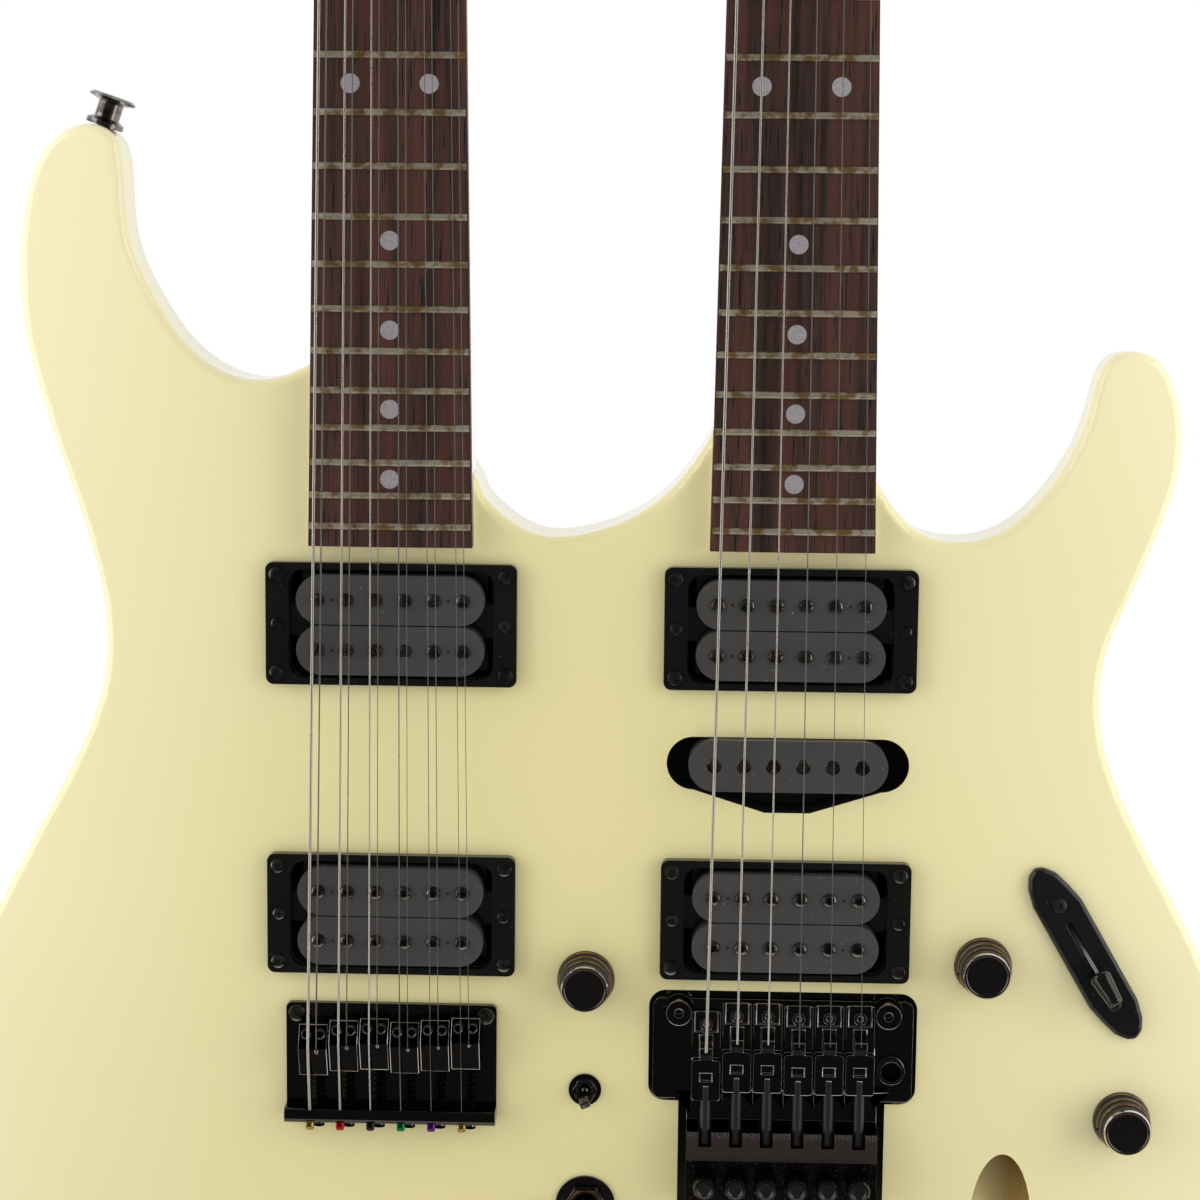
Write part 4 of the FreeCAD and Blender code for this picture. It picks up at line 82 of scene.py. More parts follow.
# Rooms in the body, counted from the middle of a neck and from the saddle line
NECK_PICKUP_RISE, BRIDGE_PICKUP_RISE, SINGLE_RISE = 146.8 * MM, 42.3 * MM, 94.0 * MM
PICKUP_HALF_WIDTH, PICKUP_HALF_HEIGHT = 40.5 * MM, 20.0 * MM
SINGLE_HALF_WIDTH, SINGLE_HALF_HEIGHT = 43.4 * MM, 14.5 * MM
TREMOLO_HALF_WIDTH, TREMOLO_LOW_Z = 48.5 * MM, 55.0 * MM
TREMOLO_RISE, TREMOLO_TAIL_DROP, TREMOLO_DEPTH = 16.0 * MM, 26.0 * MM, 8.5 * MM
SCOOP_LEFT, SCOOP_RIGHT, SCOOP_LOW, SCOOP_TOP = 137.5 * MM, 162.0 * MM, 60.0 * MM, 104.5 * MM
ROOM_FRONT, ROOM_BACK = FACE_Y + 0.9 * MM, 16.8 * MM
UPRIGHT = 0.02
SCOOP_FRONT, SCOOP_BACK = FACE_Y + 0.4 * MM, 5.0 * MM

# Parts of a CAD piece that get a finish of their own, and places of small pieces
TAIL_DROP, TAIL_HEIGHT, LOCK_SCREW_DROP = 33.0 * MM, 9.0 * MM, 22.0 * MM
SELECTOR_HEIGHT, SELECTOR_TOP = 1.2 * MM, 100.0 * MM
LEVER_TIP_DEPTH, LEVER_TIP_RISE = 13.0 * MM, 14.0 * MM
BALL_DROP, BALL_LIFT = 34.0 * MM, 0.4 * MM
SLOTTED_ABOVE, SOCKET_BELOW = 120.0 * MM, 70.0 * MM

# Widths of rounded edges
SOFT_EDGE, PLAIN_EDGE, FINE_EDGE, SADDLE_EDGE = 0.7 * MM, 0.3 * MM, 0.25 * MM, 0.22 * MM

WINDING_STEP = 0.3 * MM

# Stage, in metres
FLOOR_RADIUS, FLOOR_Y = 0.36, 0.12
FADE_START, FADE_WIDTH = 0.20, 0.14
SOFTBOX, LAMP_AIM_Z = (1.0, 1.7), 0.3

BALL_TINTS = {"gold": (0.45, 0.30, 0.08), "red": (0.50, 0.02, 0.02),
              "black": (0.03, 0.03, 0.03), "green": (0.01, 0.22, 0.07),
              "purple": (0.16, 0.03, 0.24)}


# Settings

def colour(name, description, default):
    return FloatVectorProperty(name=name, description=description, subtype="COLOR", size=3,
                               min=0.0, max=1.0, default=default)


class GuitarFinish(bpy.types.PropertyGroup):
    lacquer: colour("Lacquer", "Aged cream lacquer of the body", (0.83, 0.745, 0.375))
    # The pale lacquer is a painted highlight at the sides and top.
    lacquer_painted_highlight: colour("Pale lacquer", "Less yellowed lacquer near the rim", (1.0, 0.93, 0.60))
    neck_paint: colour("Neck paint", "Pale lacquer of the necks", (1.0, 0.97, 0.90))
    board_dark: colour("Board dark", "Dark grain of the fingerboards", (0.014, 0.006, 0.004))
    board_light: colour("Board light", "Light grain of the fingerboards", (0.080, 0.027, 0.017))
    inlay: colour("Inlay", "Pearly dots", (0.30, 0.275, 0.285))
    hardware: colour("Hardware", "Smoked dark chrome", (0.085, 0.078, 0.074))
    bobbin: colour("Bobbin", "Dark grey satin plastic", (0.047, 0.043, 0.042))
    gloss_black: colour("Gloss black", "Black plastic", (0.0045, 0.0045, 0.004))
    nickel: colour("Nickel", "Polished nickel", (0.62, 0.58, 0.52))
    screw_turn_seed: IntProperty(name="Screw seed", description="Seed of the screws' turns",
                                 default=7)


class GuitarStage(bpy.types.PropertyGroup):
    camera_place: FloatVectorProperty(name="Camera", description="Place of the camera",
                                      subtype="TRANSLATION", unit="LENGTH",
                                      default=(0.031985, -0.93235, 0.41944))
    lens: FloatProperty(name="Lens", description="Focal length in millimetres", default=78.528)
    tilt: FloatProperty(name="Tilt", description="Turn about the camera's right",
                        subtype="ANGLE", default=-0.1278)
    roll: FloatProperty(name="Roll", description="Turn about the view direction",
                        subtype="ANGLE", default=0.0316)
    pan: FloatProperty(name="Pan", description="Turn about the camera's up direction",
                       subtype="ANGLE", default=-0.0101)
    key_power: FloatProperty(name="Side lamps", description="Power of the soft lamps in watts",
                             default=11.0)
    sky: FloatProperty(name="Sky", description="Strength of the plain soft light",
                       default=0.66)


# Shader nodes written as plain expressions

class Value:
    """A shader socket that takes part in arithmetic."""

    def __init__(self, finish, socket):
        self.finish, self.socket = finish, socket

    def _sum(self, operation, left, right):
        return self.finish.node("ShaderNodeMath", {"operation": operation}, {0: left, 1: right})

    def __add__(self, other):
        return self._sum("ADD", self, other)

    __radd__ = __add__

    def __sub__(self, other):
        return self._sum("SUBTRACT", self, other)

    def __rsub__(self, other):
        return self._sum("SUBTRACT", other, self)

    def __mul__(self, other):
        return self._sum("MULTIPLY", self, other)

    __rmul__ = __mul__

    def __truediv__(self, other):
        return self._sum("DIVIDE", self, other)

    def __pow__(self, other):
        return self._sum("POWER", self, other)

    def wave(self):
        return self.finish.node("ShaderNodeMath", {"operation": "SINE"}, {0: self})

    def most(self, other):
        return self._sum("MAXIMUM", self, other)

    def size(self):
        return self.finish.node("ShaderNodeMath", {"operation": "ABSOLUTE"}, {0: self})

    def limit(self):
        return self.finish.node("ShaderNodeClamp", {}, {"Value": self})


class Graph:
    """A node tree, and the ways of adding to it."""

    def __init__(self, tree):
        self.tree = tree

    def feed(self, socket, value):
        if isinstance(value, Value):
            self.tree.links.new(value.socket, socket)
        elif socket.type == "RGBA":
            socket.default_value = (*value[:3], 1.0)
        else:
            socket.default_value = value

    def node(self, kind, settings, sockets, out=0):
        """Adds a node, sets it up, feeds its sockets, and gives one of its outputs."""
        made = self.tree.nodes.new(kind)
        for name, value in settings.items():
            if name == "stops":
                ramp = made.color_ramp.elements
                while len(ramp) < len(value):
                    ramp.new(0.5)
                for stop, (place, shade) in zip(ramp, value):
                    stop.position = place
                    stop.color = (*shade, 1.0) if isinstance(shade, tuple) else (shade,) * 3 + (1.0,)
            else:
                setattr(made, name, value)
        for name, value in sockets.items():
            self.feed(made.inputs[name], value)
        return Value(self, made.outputs[out])

    def place(self):
        return self.node("ShaderNodeTexCoord", {}, {}, "Object")

    def part(self, vector, axis):
        return self.node("ShaderNodeSeparateXYZ", {}, {0: vector}, axis)

    def stretched(self, vector, scale):
        return self.node("ShaderNodeMapping", {}, {"Vector": vector, "Scale": scale})

    def noise(self, scale, detail=4.0, vector=None, distortion=0.0):
        return self.node("ShaderNodeTexNoise", {}, {"Vector": vector or self.place(),
                                                   "Scale": scale, "Detail": detail,
                                                   "Distortion": distortion}, "Fac")

    def ramp(self, value, *stops):
        return self.node("ShaderNodeValToRGB", {"stops": stops}, {"Fac": value}, "Color")

    def mix(self, factor, first, second, blend="MIX"):
        made = self.tree.nodes.new("ShaderNodeMix")
        made.data_type, made.blend_type = "RGBA", blend
        for index, value in ((0, factor), (6, first), (7, second)):
            self.feed(made.inputs[index], value)
        return Value(self, made.outputs[2])

    def shader(self, kind, sockets):
        return self.node(kind, {}, sockets)

    def blend(self, factor, first, second):
        """A mix of two shaders."""
        return self.node("ShaderNodeMixShader", {}, {0: factor, 1: first, 2: second})

    def seen_ray(self, kind):
        return self.node("ShaderNodeLightPath", {}, {}, f"Is {kind} Ray")


class Finish(Graph):
    """One material: a Principled shader and the nodes that vary it over a surface."""

    def __init__(self, name, base, **steady):
        self.material = bpy.data.materials.new(name)
        self.material.use_nodes = True
        super().__init__(self.material.node_tree)
        self.principled = self.tree.nodes["Principled BSDF"]
        self.set(**{"Base Color": base, **steady})

    def set(self, **sockets):
        for name, value in sockets.items():
            self.feed(self.principled.inputs[name], value)

    def bump(self, height, distance, strength=1.0):
        normal = self.node("ShaderNodeBump", {}, {"Height": height, "Distance": distance,
                                                  "Strength": strength}, "Normal")
        self.set(Normal=normal)


finishes = {}


def settings():
    return bpy.context.scene.guitar_finish


def lacquer(name, deep, pale):
    """Thick glossy lacquer, yellowed unevenly, with a painted highlight at the sides and top, darker
    towards the bottom, and a few fine marks in the gloss.
    """
    f = Finish(name, deep, **{"Coat Weight": 0.6, "Coat Roughness": 0.03, "Coat IOR": 1.5,
                              "IOR": 1.45})
    cloud = f.noise(5.0, 2.0)
    across = (f.part(f.place(), "X") / 0.235).size()
    up = (f.part(f.place(), "Z") - 0.22) / 0.26
    # Painted highlight: paler away from the middle and toward the top; the noise adds uneven
    # yellowing.
    rim = (across ** 2.4 * 0.85 + up.limit() * 0.35 + (cloud - 0.5) * 0.4).limit()
    # Darker towards the bottom.
    low = (0.20 - f.part(f.place(), "Z")).limit() * 0.9
    tone = f.mix(low, f.mix(rim, deep, pale), (0.30, 0.27, 0.16))
    speck = f.node("ShaderNodeTexVoronoi", {}, {"Vector": f.place(), "Scale": 95.0}, "Distance")
    dirt = (0.022 - speck).limit() * 12.0
    f.set(**{"Base Color": f.mix(dirt.limit(), tone, (0.30, 0.22, 0.12))})
    f.set(Roughness=0.16 + 0.10 * f.noise(60.0, 6.0))
    f.bump(f.noise(130.0, 3.0), 0.00003)
    return f.material


def rosewood(name, dark, light):
    """Open-grained wood: long streaks up the neck, dark pores and a dull oiled face."""
    f = Finish(name, dark, IOR=1.45)
    spot = f.place()
    streak = f.noise(1.0, 6.0, f.stretched(spot, (330.0, 60.0, 9.0)), 0.6)
    band = f.noise(1.0, 3.0, f.stretched(spot, (95.0, 40.0, 3.2)), 0.9)
    pore = f.noise(1.0, 3.0, f.stretched(spot, (1500.0, 600.0, 55.0)))
    tone = f.mix(f.ramp(streak, (0.34, 0.0), (0.72, 1.0)), dark, light)
    tone = f.mix(f.ramp(band, (0.38, 0.0), (0.62, 0.75)), tone,
                 (light[0] * 1.35, light[1] * 1.15, light[2]))
    hole = f.ramp(pore, (0.56, 0.0), (0.66, 1.0))
    f.set(**{"Base Color": f.mix(hole, tone, (dark[0] * 0.4, dark[1] * 0.4, dark[2] * 0.4))})
    f.set(Roughness=0.42 + 0.25 * streak)
    f.bump(streak * 0.6 - hole, 0.00012, 0.7)
    return f.material


def metal(name, tone, rough, brushed, grime=None):
    """Metal with fine wear in its gloss, and grime that gathers in patches."""
    f = Finish(name, tone, Metallic=1.0)
    spot = f.place()
    scuff = f.noise(420.0, 5.0, spot)
    cloud = f.noise(70.0, 3.0, spot)
    f.set(Roughness=rough + 0.12 * (scuff - 0.4).limit() + 0.05 * cloud)
    shade = f.mix(cloud, tone, [c * 0.72 for c in tone])
    if grime:
        patch = f.ramp(f.noise(260.0, 4.0, spot), (0.44, 0.0), (0.60, 1.0))
        shade = f.mix(patch, shade, grime)
    f.set(**{"Base Color": shade})
    scratch = f.noise(1.0, 4.0, f.stretched(spot, (3000.0, 3000.0, 220.0)))
    f.bump(scratch * brushed + scuff * 0.25, 0.00003, 0.6)
    return f.material


def tail_metal(name, dark):
    """The tremolo's tail: sandblasted slope, a plain satin strip, then a dark speckled end."""
    f = Finish(name, dark, Metallic=1.0)
    height = f.part(f.place(), "Z") - SADDLE_Z
    strip = ((-35.2 * MM - height) * 4000).limit()
    end = ((-43.6 * MM - height) * 4000).limit()
    sand = f.noise(2200.0, 2.0)
    grain = f.ramp(sand, (0.40, (0.03, 0.025, 0.023)), (0.62, (0.24, 0.20, 0.19)))
    tone = f.mix(strip, grain, (0.085, 0.066, 0.060))
    speck = f.ramp(f.noise(1500.0, 3.0), (0.60, (0.02, 0.018, 0.017)), (0.68, (0.20, 0.18, 0.17)))
    f.set(**{"Base Color": f.mix(end, tone, speck)})
    f.set(Roughness=0.55 - 0.30 * end)
    f.bump(sand, 0.00004, 0.5)
    return f.material


def scoop_painted_shade(name):
    """Lacquer in the jack's scoop, yellower and darker to the right and at the top: painted shade of
    the deep hollow.
    """
    f = Finish(name, (0.4, 0.3, 0.1), **{"Coat Weight": 0.6, "Coat Roughness": 0.04})
    # Painted shade: darker to the right and near black at the top.
    right = ((f.part(f.place(), "X") - 0.1435) / 0.012).limit()
    top = ((f.part(f.place(), "Z") - 0.094) / 0.010).limit()
    tone = f.mix(right, (0.80, 0.71, 0.36), (0.33, 0.20, 0.055))
    f.set(**{"Base Color": f.mix(top, tone, (0.05, 0.035, 0.02))})
    f.set(Roughness=0.2 + 0.1 * f.noise(80.0, 4.0))
    return f.material


def plastic(name, tone, rough, grain, dust):
    """Moulded plastic with a faint grain and a little dust."""
    f = Finish(name, tone, IOR=1.5)
    cloud = f.noise(45.0, 3.0)
    fine = f.noise(1600.0, 2.0)
    shade = f.mix(cloud, tone, [min(1.0, c * 1.35 + 0.003) for c in tone])
    fluff = f.ramp(f.noise(750.0, 2.0), (0.70, 0.0), (0.80, 1.0))
    f.set(**{"Base Color": f.mix(fluff * dust, shade, (0.35, 0.33, 0.30))})
    f.set(Roughness=rough + 0.10 * cloud)
    f.bump(fine * grain + cloud * 0.2, 0.00004, 0.6)
    return f.material


def pearl(name, tone):
    """Cloudy mother-of-pearl."""
    f = Finish(name, tone, **{"Coat Weight": 0.5, "Coat Roughness": 0.08})
    swirl = f.noise(420.0, 5.0, distortion=2.0)
    f.set(**{"Base Color": f.mix(swirl, [c * 0.85 for c in tone], [c * 1.25 for c in tone])})
    f.set(Roughness=0.20 + 0.15 * swirl)
    f.bump(swirl, 0.00002)
    return f.material


def wound_wire(name, tone, winding):
    """String wire; the wound kind shows its fine turns."""
    f = Finish(name, tone, Metallic=1.0)
    height = f.part(f.place(), "Z")
    turn = (height * (math.tau / WINDING_STEP)).wave() * 0.5 + 0.5
    tarnish = f.noise(55.0, 4.0)
    f.set(**{"Base Color": f.mix(tarnish, tone, [c * 0.8 for c in tone])})
    f.set(Roughness=0.22 + 0.12 * tarnish)
    f.bump(turn * winding + tarnish * 0.1, 0.00006, 0.8)
    return f.material


def make_finishes():
    look = settings()
    dark = tuple(look.hardware)
    finishes.update(
        lacquer=lacquer("cream_lacquer", tuple(look.lacquer), tuple(look.lacquer_painted_highlight)),
        neck=lacquer("neck_lacquer", tuple(look.neck_paint), (0.95, 0.91, 0.80)),
        scoop=scoop_painted_shade("scoop_lacquer"),
        # Black paint in the body's routes and cavities, and painted shade in cut hollows, holes and
        # the tremolo recess.
        room=plastic("black_room_paint", (0.012, 0.011, 0.010), 0.75, 1.0, 0.3),
        board=rosewood("rosewood", tuple(look.board_dark), tuple(look.board_light)),
        fret=metal("fret_nickel", (0.95, 0.86, 0.68), 0.50, 0.3, (0.42, 0.28, 0.11)),
        pearl=pearl("pearl_dot", tuple(look.inlay)),
        plain_string=wound_wire("plain_string", (0.20, 0.19, 0.17), 0.05),
        wound_string=wound_wire("wound_string", (0.62, 0.58, 0.52), 1.0),
        hardware=metal("dark_chrome", dark, 0.09, 0.1),
        tail=tail_metal("tremolo_tail", dark),
        hardware_satin=metal("dark_satin_metal", [c * 0.8 for c in dark], 0.26, 0.4),
        # Bright metal on the bevelled rims of dark parts and on the knobs' cap edge: a painted
        # highlight.
        rim=metal("polished_rim", (0.85, 0.80, 0.76), 0.14, 0.1),
        arm=metal("bright_arm", (0.86, 0.81, 0.74), 0.45, 0.2),
        black_mirror=metal("black_mirror", (0.009, 0.008, 0.008), 0.12, 0.1),
        cap=metal("dark_cap", (0.10, 0.088, 0.080), 0.24, 0.3),
        ridge=plastic("ridge_black", (0.014, 0.011, 0.010), 0.55, 0.3, 0.04),
        nickel_dark=metal("dark_nickel", (0.26, 0.24, 0.215), 0.18, 0.3, (0.08, 0.07, 0.06)),
        bobbin=plastic("bobbin_plastic", tuple(look.bobbin), 0.42, 0.6, 0.5),
        gloss=plastic("gloss_black_plastic", tuple(look.gloss_black), 0.07, 0.1, 0.25),
        satin_black=plastic("satin_black_metal", (0.008, 0.008, 0.008), 0.30, 0.4, 0.1),
        cover_black=plastic("cover_black", (0.004, 0.004, 0.004), 0.24, 0.4, 0.25),
        nickel=metal("polished_nickel", tuple(look.nickel), 0.14, 0.2, (0.20, 0.15, 0.09)),
        steel=metal("plain_steel", (0.55, 0.54, 0.52), 0.24, 0.8),
        brass=metal("plain_brass", (0.62, 0.42, 0.16), 0.22, 0.5),
        copper=metal("worn_copper", (0.36, 0.22, 0.13), 0.24, 0.3, (0.12, 0.08, 0.05)),
        bone=plastic("nut_plastic", (0.72, 0.68, 0.55), 0.30, 0.3, 0.2),
        **{f"ball_{name}": metal(f"ball_end_{name}", tint, 0.30, 0.2)
           for name, tint in BALL_TINTS.items()},
    )


# Modelling helpers

def clear_selection():
    if bpy.context.object and bpy.context.object.mode != "OBJECT":
        bpy.ops.object.mode_set(mode="OBJECT")
    bpy.ops.object.select_all(action="DESELECT")


def pick(*objects):
    clear_selection()
    for obj in objects:
        obj.select_set(True)
    bpy.context.view_layer.objects.active = objects[0]
    return objects[0]


def edit(obj, kind="FACE", action="DESELECT"):
    pick(obj)
    bpy.ops.object.mode_set(mode="EDIT")
    bpy.ops.mesh.select_mode(type=kind)
    bpy.ops.mesh.select_all(action=action)


def done():
    bpy.ops.object.mode_set(mode="OBJECT")


def select(obj, items, test):
    """Selects the faces or points of an object for which a test holds, in edit mode."""
    edit(obj, "VERT" if items == "vertices" else "FACE")
    done()
    for item in getattr(obj.data, items):
        item.select = bool(test(item))
    bpy.ops.object.mode_set(mode="EDIT")


def apply_modifier(obj, kind, **values):
    pick(obj)
    modifier = obj.modifiers.new(kind.lower(), kind)
    for name, value in values.items():
        setattr(modifier, name, value)
    bpy.ops.object.modifier_apply(modifier=modifier.name)


def bevel(obj, width, segments=2, angle=40.0, finish=-1, clamp=True):
    """Rounds the edges; the new faces may get one of the object's finishes."""
    apply_modifier(obj, "BEVEL", width=width, segments=segments, limit_method="ANGLE",
                   angle_limit=math.radians(angle), use_clamp_overlap=clamp,
                   material=finish)


def smooth(obj, angle=35.0):
    pick(obj)
    bpy.ops.object.shade_smooth_by_angle(angle=math.radians(angle))
    apply_modifier(obj, "WEIGHTED_NORMAL", keep_sharp=True, weight=60)


def wear(obj, *names):
    """Gives an object its finishes, the first one on every face."""
    obj.data.materials.clear()
    for name in names:
        obj.data.materials.append(finishes[name])
    return obj


def finish_faces(obj, index, test):
    """Gives one of an object's finishes to the faces for which a test of the centre holds."""
    for face in obj.data.polygons:
        if test(face.center):
            face.material_index = index


def settle(obj, name, body):
    """Applies the object's place, names it and lets it ride on a body."""
    pick(obj)
    bpy.ops.object.transform_apply(location=True, rotation=True, scale=True)
    obj.name = obj.data.name = name
    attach(obj, body)
    return obj


def join(pieces):
    """Makes one object of several."""
    pick(*pieces)
    if len(pieces) > 1:
        bpy.ops.object.join()
    return bpy.context.object


def copies(model, places):
    """Copies of a model at 4x4 places, each with its own mesh, joined; the model goes."""
    made = []
    for place in places:
        copy = model.copy()
        copy.data = model.data.copy()
        bpy.context.scene.collection.objects.link(copy)
        copy.matrix_world = place
        made.append(copy)
    bpy.data.objects.remove(model)
    return join(made)


def merged_copy(node):
    """A copy of a CAD node with its doubled points merged and its stored normals cleared."""
    source = NODES[node]
    copy = source.copy()
    copy.data = source.data.copy()
    copy.parent = None
    copy.matrix_world = source.matrix_world.copy()
    copy.hide_viewport = copy.hide_render = False
    bpy.context.scene.collection.objects.link(copy)
    copy.hide_set(False)
    pick(copy)
    bpy.ops.mesh.customdata_custom_splitnormals_clear()
    edit(copy, "VERT", "SELECT")
    bpy.ops.mesh.remove_doubles(threshold=0.000004)
    done()
    return copy


def dressed_copy(node, finish, angle=35.0, edge=0.0, edge_angle=50.0, rim=None,
                 clamp=True):
    """A merged, smoothed copy of a CAD node that stands for it; its bevelled rims may get a bright
    finish as a painted highlight.
    """
    copy = merged_copy(node)
    wear(copy, finish, *([rim] if rim else []))
    if edge:
        edit(copy, "FACE", "SELECT")
        bpy.ops.mesh.dissolve_limited(angle_limit=math.radians(0.5))
        done()
        bevel(copy, edge, 2, edge_angle, 1 if rim else -1, clamp)
    smooth(copy, angle)
    settle(copy, node + "_dressed", BODY_OF[node])
    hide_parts(node)
    return copy


def stands_for(obj, node, name=None):
    """Settles a new piece in the place of a CAD node."""
    settle(obj, name or node + "_shown", BODY_OF[node])
    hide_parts(node)
    return obj


def loose_parts(node):
    """The points of each separate part of a CAD node, as arrays."""
    edit(merged_copy(node), "FACE", "SELECT")
    bpy.ops.mesh.separate(type="LOOSE")
    done()
    parts = list(bpy.context.selected_objects)
    points = [np.array([part.matrix_world @ v.co for v in part.data.vertices]) for part in parts]
    for part in parts:
        bpy.data.objects.remove(part)
    return points


class Screw:
    """Where a turned CAD part stands: its seat, the way its head looks, and its sizes."""

    def __init__(self, points):
        middle = points.mean(axis=0)
        axis = np.linalg.svd(points - middle)[2][0]
        along = (points - middle) @ axis
        off = np.linalg.norm(points - middle - np.outer(along, axis), axis=1)
        self.radius = off.max()
        wide = along[off > 0.9 * self.radius]
        if wide.mean() < 0:
            axis, along, wide = -axis, -along, -wide
        self.out = Vector(axis)
        self.seat = Vector(middle + axis * wide.min())
        self.head = wide.max() - wide.min()
        self.length = wide.min() - along.min()

    def place(self, turn=0.0):
        return outward(self.seat, self.out, turn)


def outward(spot, normal=(0, -1, 0), turn=0.0):
    """A place whose Z axis points along a normal, turned about it."""
    return (Matrix.Translation(spot) @ Vector(normal).to_track_quat("Z", "Y").to_matrix().to_4x4()
            @ Matrix.Rotation(turn, 4, "Z"))


def turned(profile, sides=32):
    """A lathe shape whose profile is written in millimetres."""
    return lathe([(radius * MM, height * MM) for radius, height in profile], sides)


def lathe(profile, sides=32):
    """A closed round shape about Z: a disc drawn out step by step along (radius, height)."""
    clear_selection()
    radius, height = profile[0]
    bpy.ops.mesh.primitive_circle_add(vertices=sides, radius=radius, fill_type="NGON",
                                      location=(0, 0, height))
    shape = bpy.context.object
    edit(shape, "FACE", "SELECT")
    for wide, high in profile[1:]:
        bpy.ops.mesh.extrude_region_move(
            TRANSFORM_OT_translate={"value": (0, 0, high - height)})
        bpy.ops.transform.resize(value=(wide / radius, wide / radius, 1),
                                 center_override=(0, 0, high))
        radius, height = wide, high
    bpy.ops.mesh.select_all(action="SELECT")
    bpy.ops.mesh.normals_make_consistent(inside=False)
    done()
    bpy.ops.object.transform_apply(location=True, rotation=True, scale=True)
    return shape


def bar(width, depth, height, centre=(0, 0, 0), end=1.0):
    """A block whose lower end is narrowed by a share."""
    clear_selection()
    bpy.ops.mesh.primitive_cube_add(size=1.0, location=centre)
    block = bpy.context.object
    block.scale = (width, depth, height)
    bpy.ops.object.transform_apply(location=True, rotation=True, scale=True)
    low = centre[2]
    select(block, "polygons", lambda face: face.center.z < low - height * 0.4)
    bpy.ops.transform.resize(value=(end, end, 1), center_override=(centre[0], centre[1], low))
    done()
    return block


def cut(obj, cutter, finish="room"):
    """Takes a cutter's shape out of an object; the new faces get the cutter's finish, by default
    black as painted shade in the hollow.
    """
    wear(cutter, finish)
    apply_modifier(obj, "BOOLEAN", operation="DIFFERENCE", object=cutter, solver="EXACT",
                   material_mode="TRANSFER")
    bpy.data.objects.remove(cutter)
    return obj


def cross(obj, radius, top, depth):
    """Cuts a cross recess into a screw head; its faces are blackened as painted shade."""
    for long, thin in ((1.5, 0.42), (0.42, 1.5)):
        cut(obj, bar(radius * long, radius * thin, 2 * depth, (0, 0, top), 0.35))
    return obj


def domed_screw(radius, head, shank, length, finish, sides=28):
    """A screw whose seat is at zero and whose head is domed."""
    shape = lathe([(shank, -length), (shank, 0), (radius, 0), (radius, 0.45 * head),
                   (0.93 * radius, 0.72 * head), (0.72 * radius, 0.92 * head),
                   (0.4 * radius, head)], sides)
    return wear(shape, finish)


def turned_copies(model, screws, name, node, seed):
    """A model at the places of CAD screws, each at a turn of its own."""
    chance = random.Random(seed)
    done_copies = copies(model, [s.place(chance.uniform(0, math.pi)) for s in screws])
    smooth(done_copies, 35.0)
    return stands_for(done_copies, node, name)


def paint(node, finish):
    """Gives a hidden CAD node its finish."""
    slots = NODES[node].data.materials
    slots.clear()
    slots.append(finishes[finish])


# Pieces

class GUITAR_OT_body(bpy.types.Operator):
    """Lacquers the body, blackens its rooms and paints shade into the tremolo recess and the jack's
    scoop
    """
    bl_idname = "guitar.body"
    bl_label = "Body"
    bl_options = {"REGISTER", "UNDO"}

    def execute(self, context):
        body = dressed_copy("body", "lacquer", 30.0)
        body.data.materials.append(finishes["room"])
        body.data.materials.append(finishes["scoop"])
        routes = [(x, SADDLE_Z + rise, PICKUP_HALF_WIDTH, PICKUP_HALF_HEIGHT)
                  for x in (TWELVE_X, SIX_X) for rise in (NECK_PICKUP_RISE, BRIDGE_PICKUP_RISE)]
        routes.append((SIX_X, SADDLE_Z + SINGLE_RISE, SINGLE_HALF_WIDTH, SINGLE_HALF_HEIGHT))

        covers = [(p.min(axis=0), p.max(axis=0)) for p in loose_parts("rear_covers")]

        def dark(face):
            """Whether a face is blackened: black paint in routes and cover cavities, painted shade
            in the tremolo recess's tail and floor.
            """
            c, out = face.center, face.normal
            route = any(abs(c.x - x) < half and abs(c.z - z) < high
                        for x, z, half, high in routes)
            walled = body.ray_cast(c + out * 0.1 * MM, out)[0]
            cavity = out.y > -UPRIGHT and (walled or c.y < 0) and any(
                low[0] < c.x < high[0] and low[2] < c.z < high[2] for low, high in covers)
            scoop = SCOOP_LEFT < c.x < SCOOP_RIGHT and c.z < SCOOP_TOP
            beside = abs(c.x - SIX_X) < TREMOLO_HALF_WIDTH
            # Painted shade: the tremolo recess's tail and its floor under the plate are blackened.
            tail = beside and TREMOLO_LOW_Z < c.z < SADDLE_Z - TREMOLO_TAIL_DROP
            under = (beside and out.y < UPRIGHT and c.y > FACE_Y + TREMOLO_DEPTH
                     and TREMOLO_LOW_Z < c.z < SADDLE_Z + TREMOLO_RISE)
            inside = ROOM_FRONT < c.y < ROOM_BACK
            return inside and (route or tail or under or cavity) and not scoop

        for face in [face for face in body.data.polygons if dark(face)]:
            face.material_index = 1
        # The jack's scoop gets the lacquer with painted shade.
        finish_faces(body, 2, lambda c: SCOOP_FRONT < c.y < SCOOP_BACK
                     and SCOOP_LEFT < c.x < SCOOP_RIGHT and SCOOP_LOW < c.z < SCOOP_TOP)
        return {"FINISHED"}


class GUITAR_OT_necks(bpy.types.Operator):
    """Necks, fingerboards, frets and inlays"""
    bl_idname = "guitar.necks"
    bl_label = "Necks"
    bl_options = {"REGISTER", "UNDO"}

    def execute(self, context):
        dressed_copy("neck_twelve", "neck", 40.0)
        dressed_copy("neck_six", "neck", 40.0)
        dressed_copy("fretboards", "board", 30.0)
        dressed_copy("inlay_dots", "pearl", 30.0)
        dressed_copy("frets", "fret", 50.0)
        dressed_copy("nut_twelve", "bone", 30.0)
        dressed_copy("locking_nut", "hardware", 30.0, PLAIN_EDGE)
        paint("truss_rods", "steel")
        return {"FINISHED"}


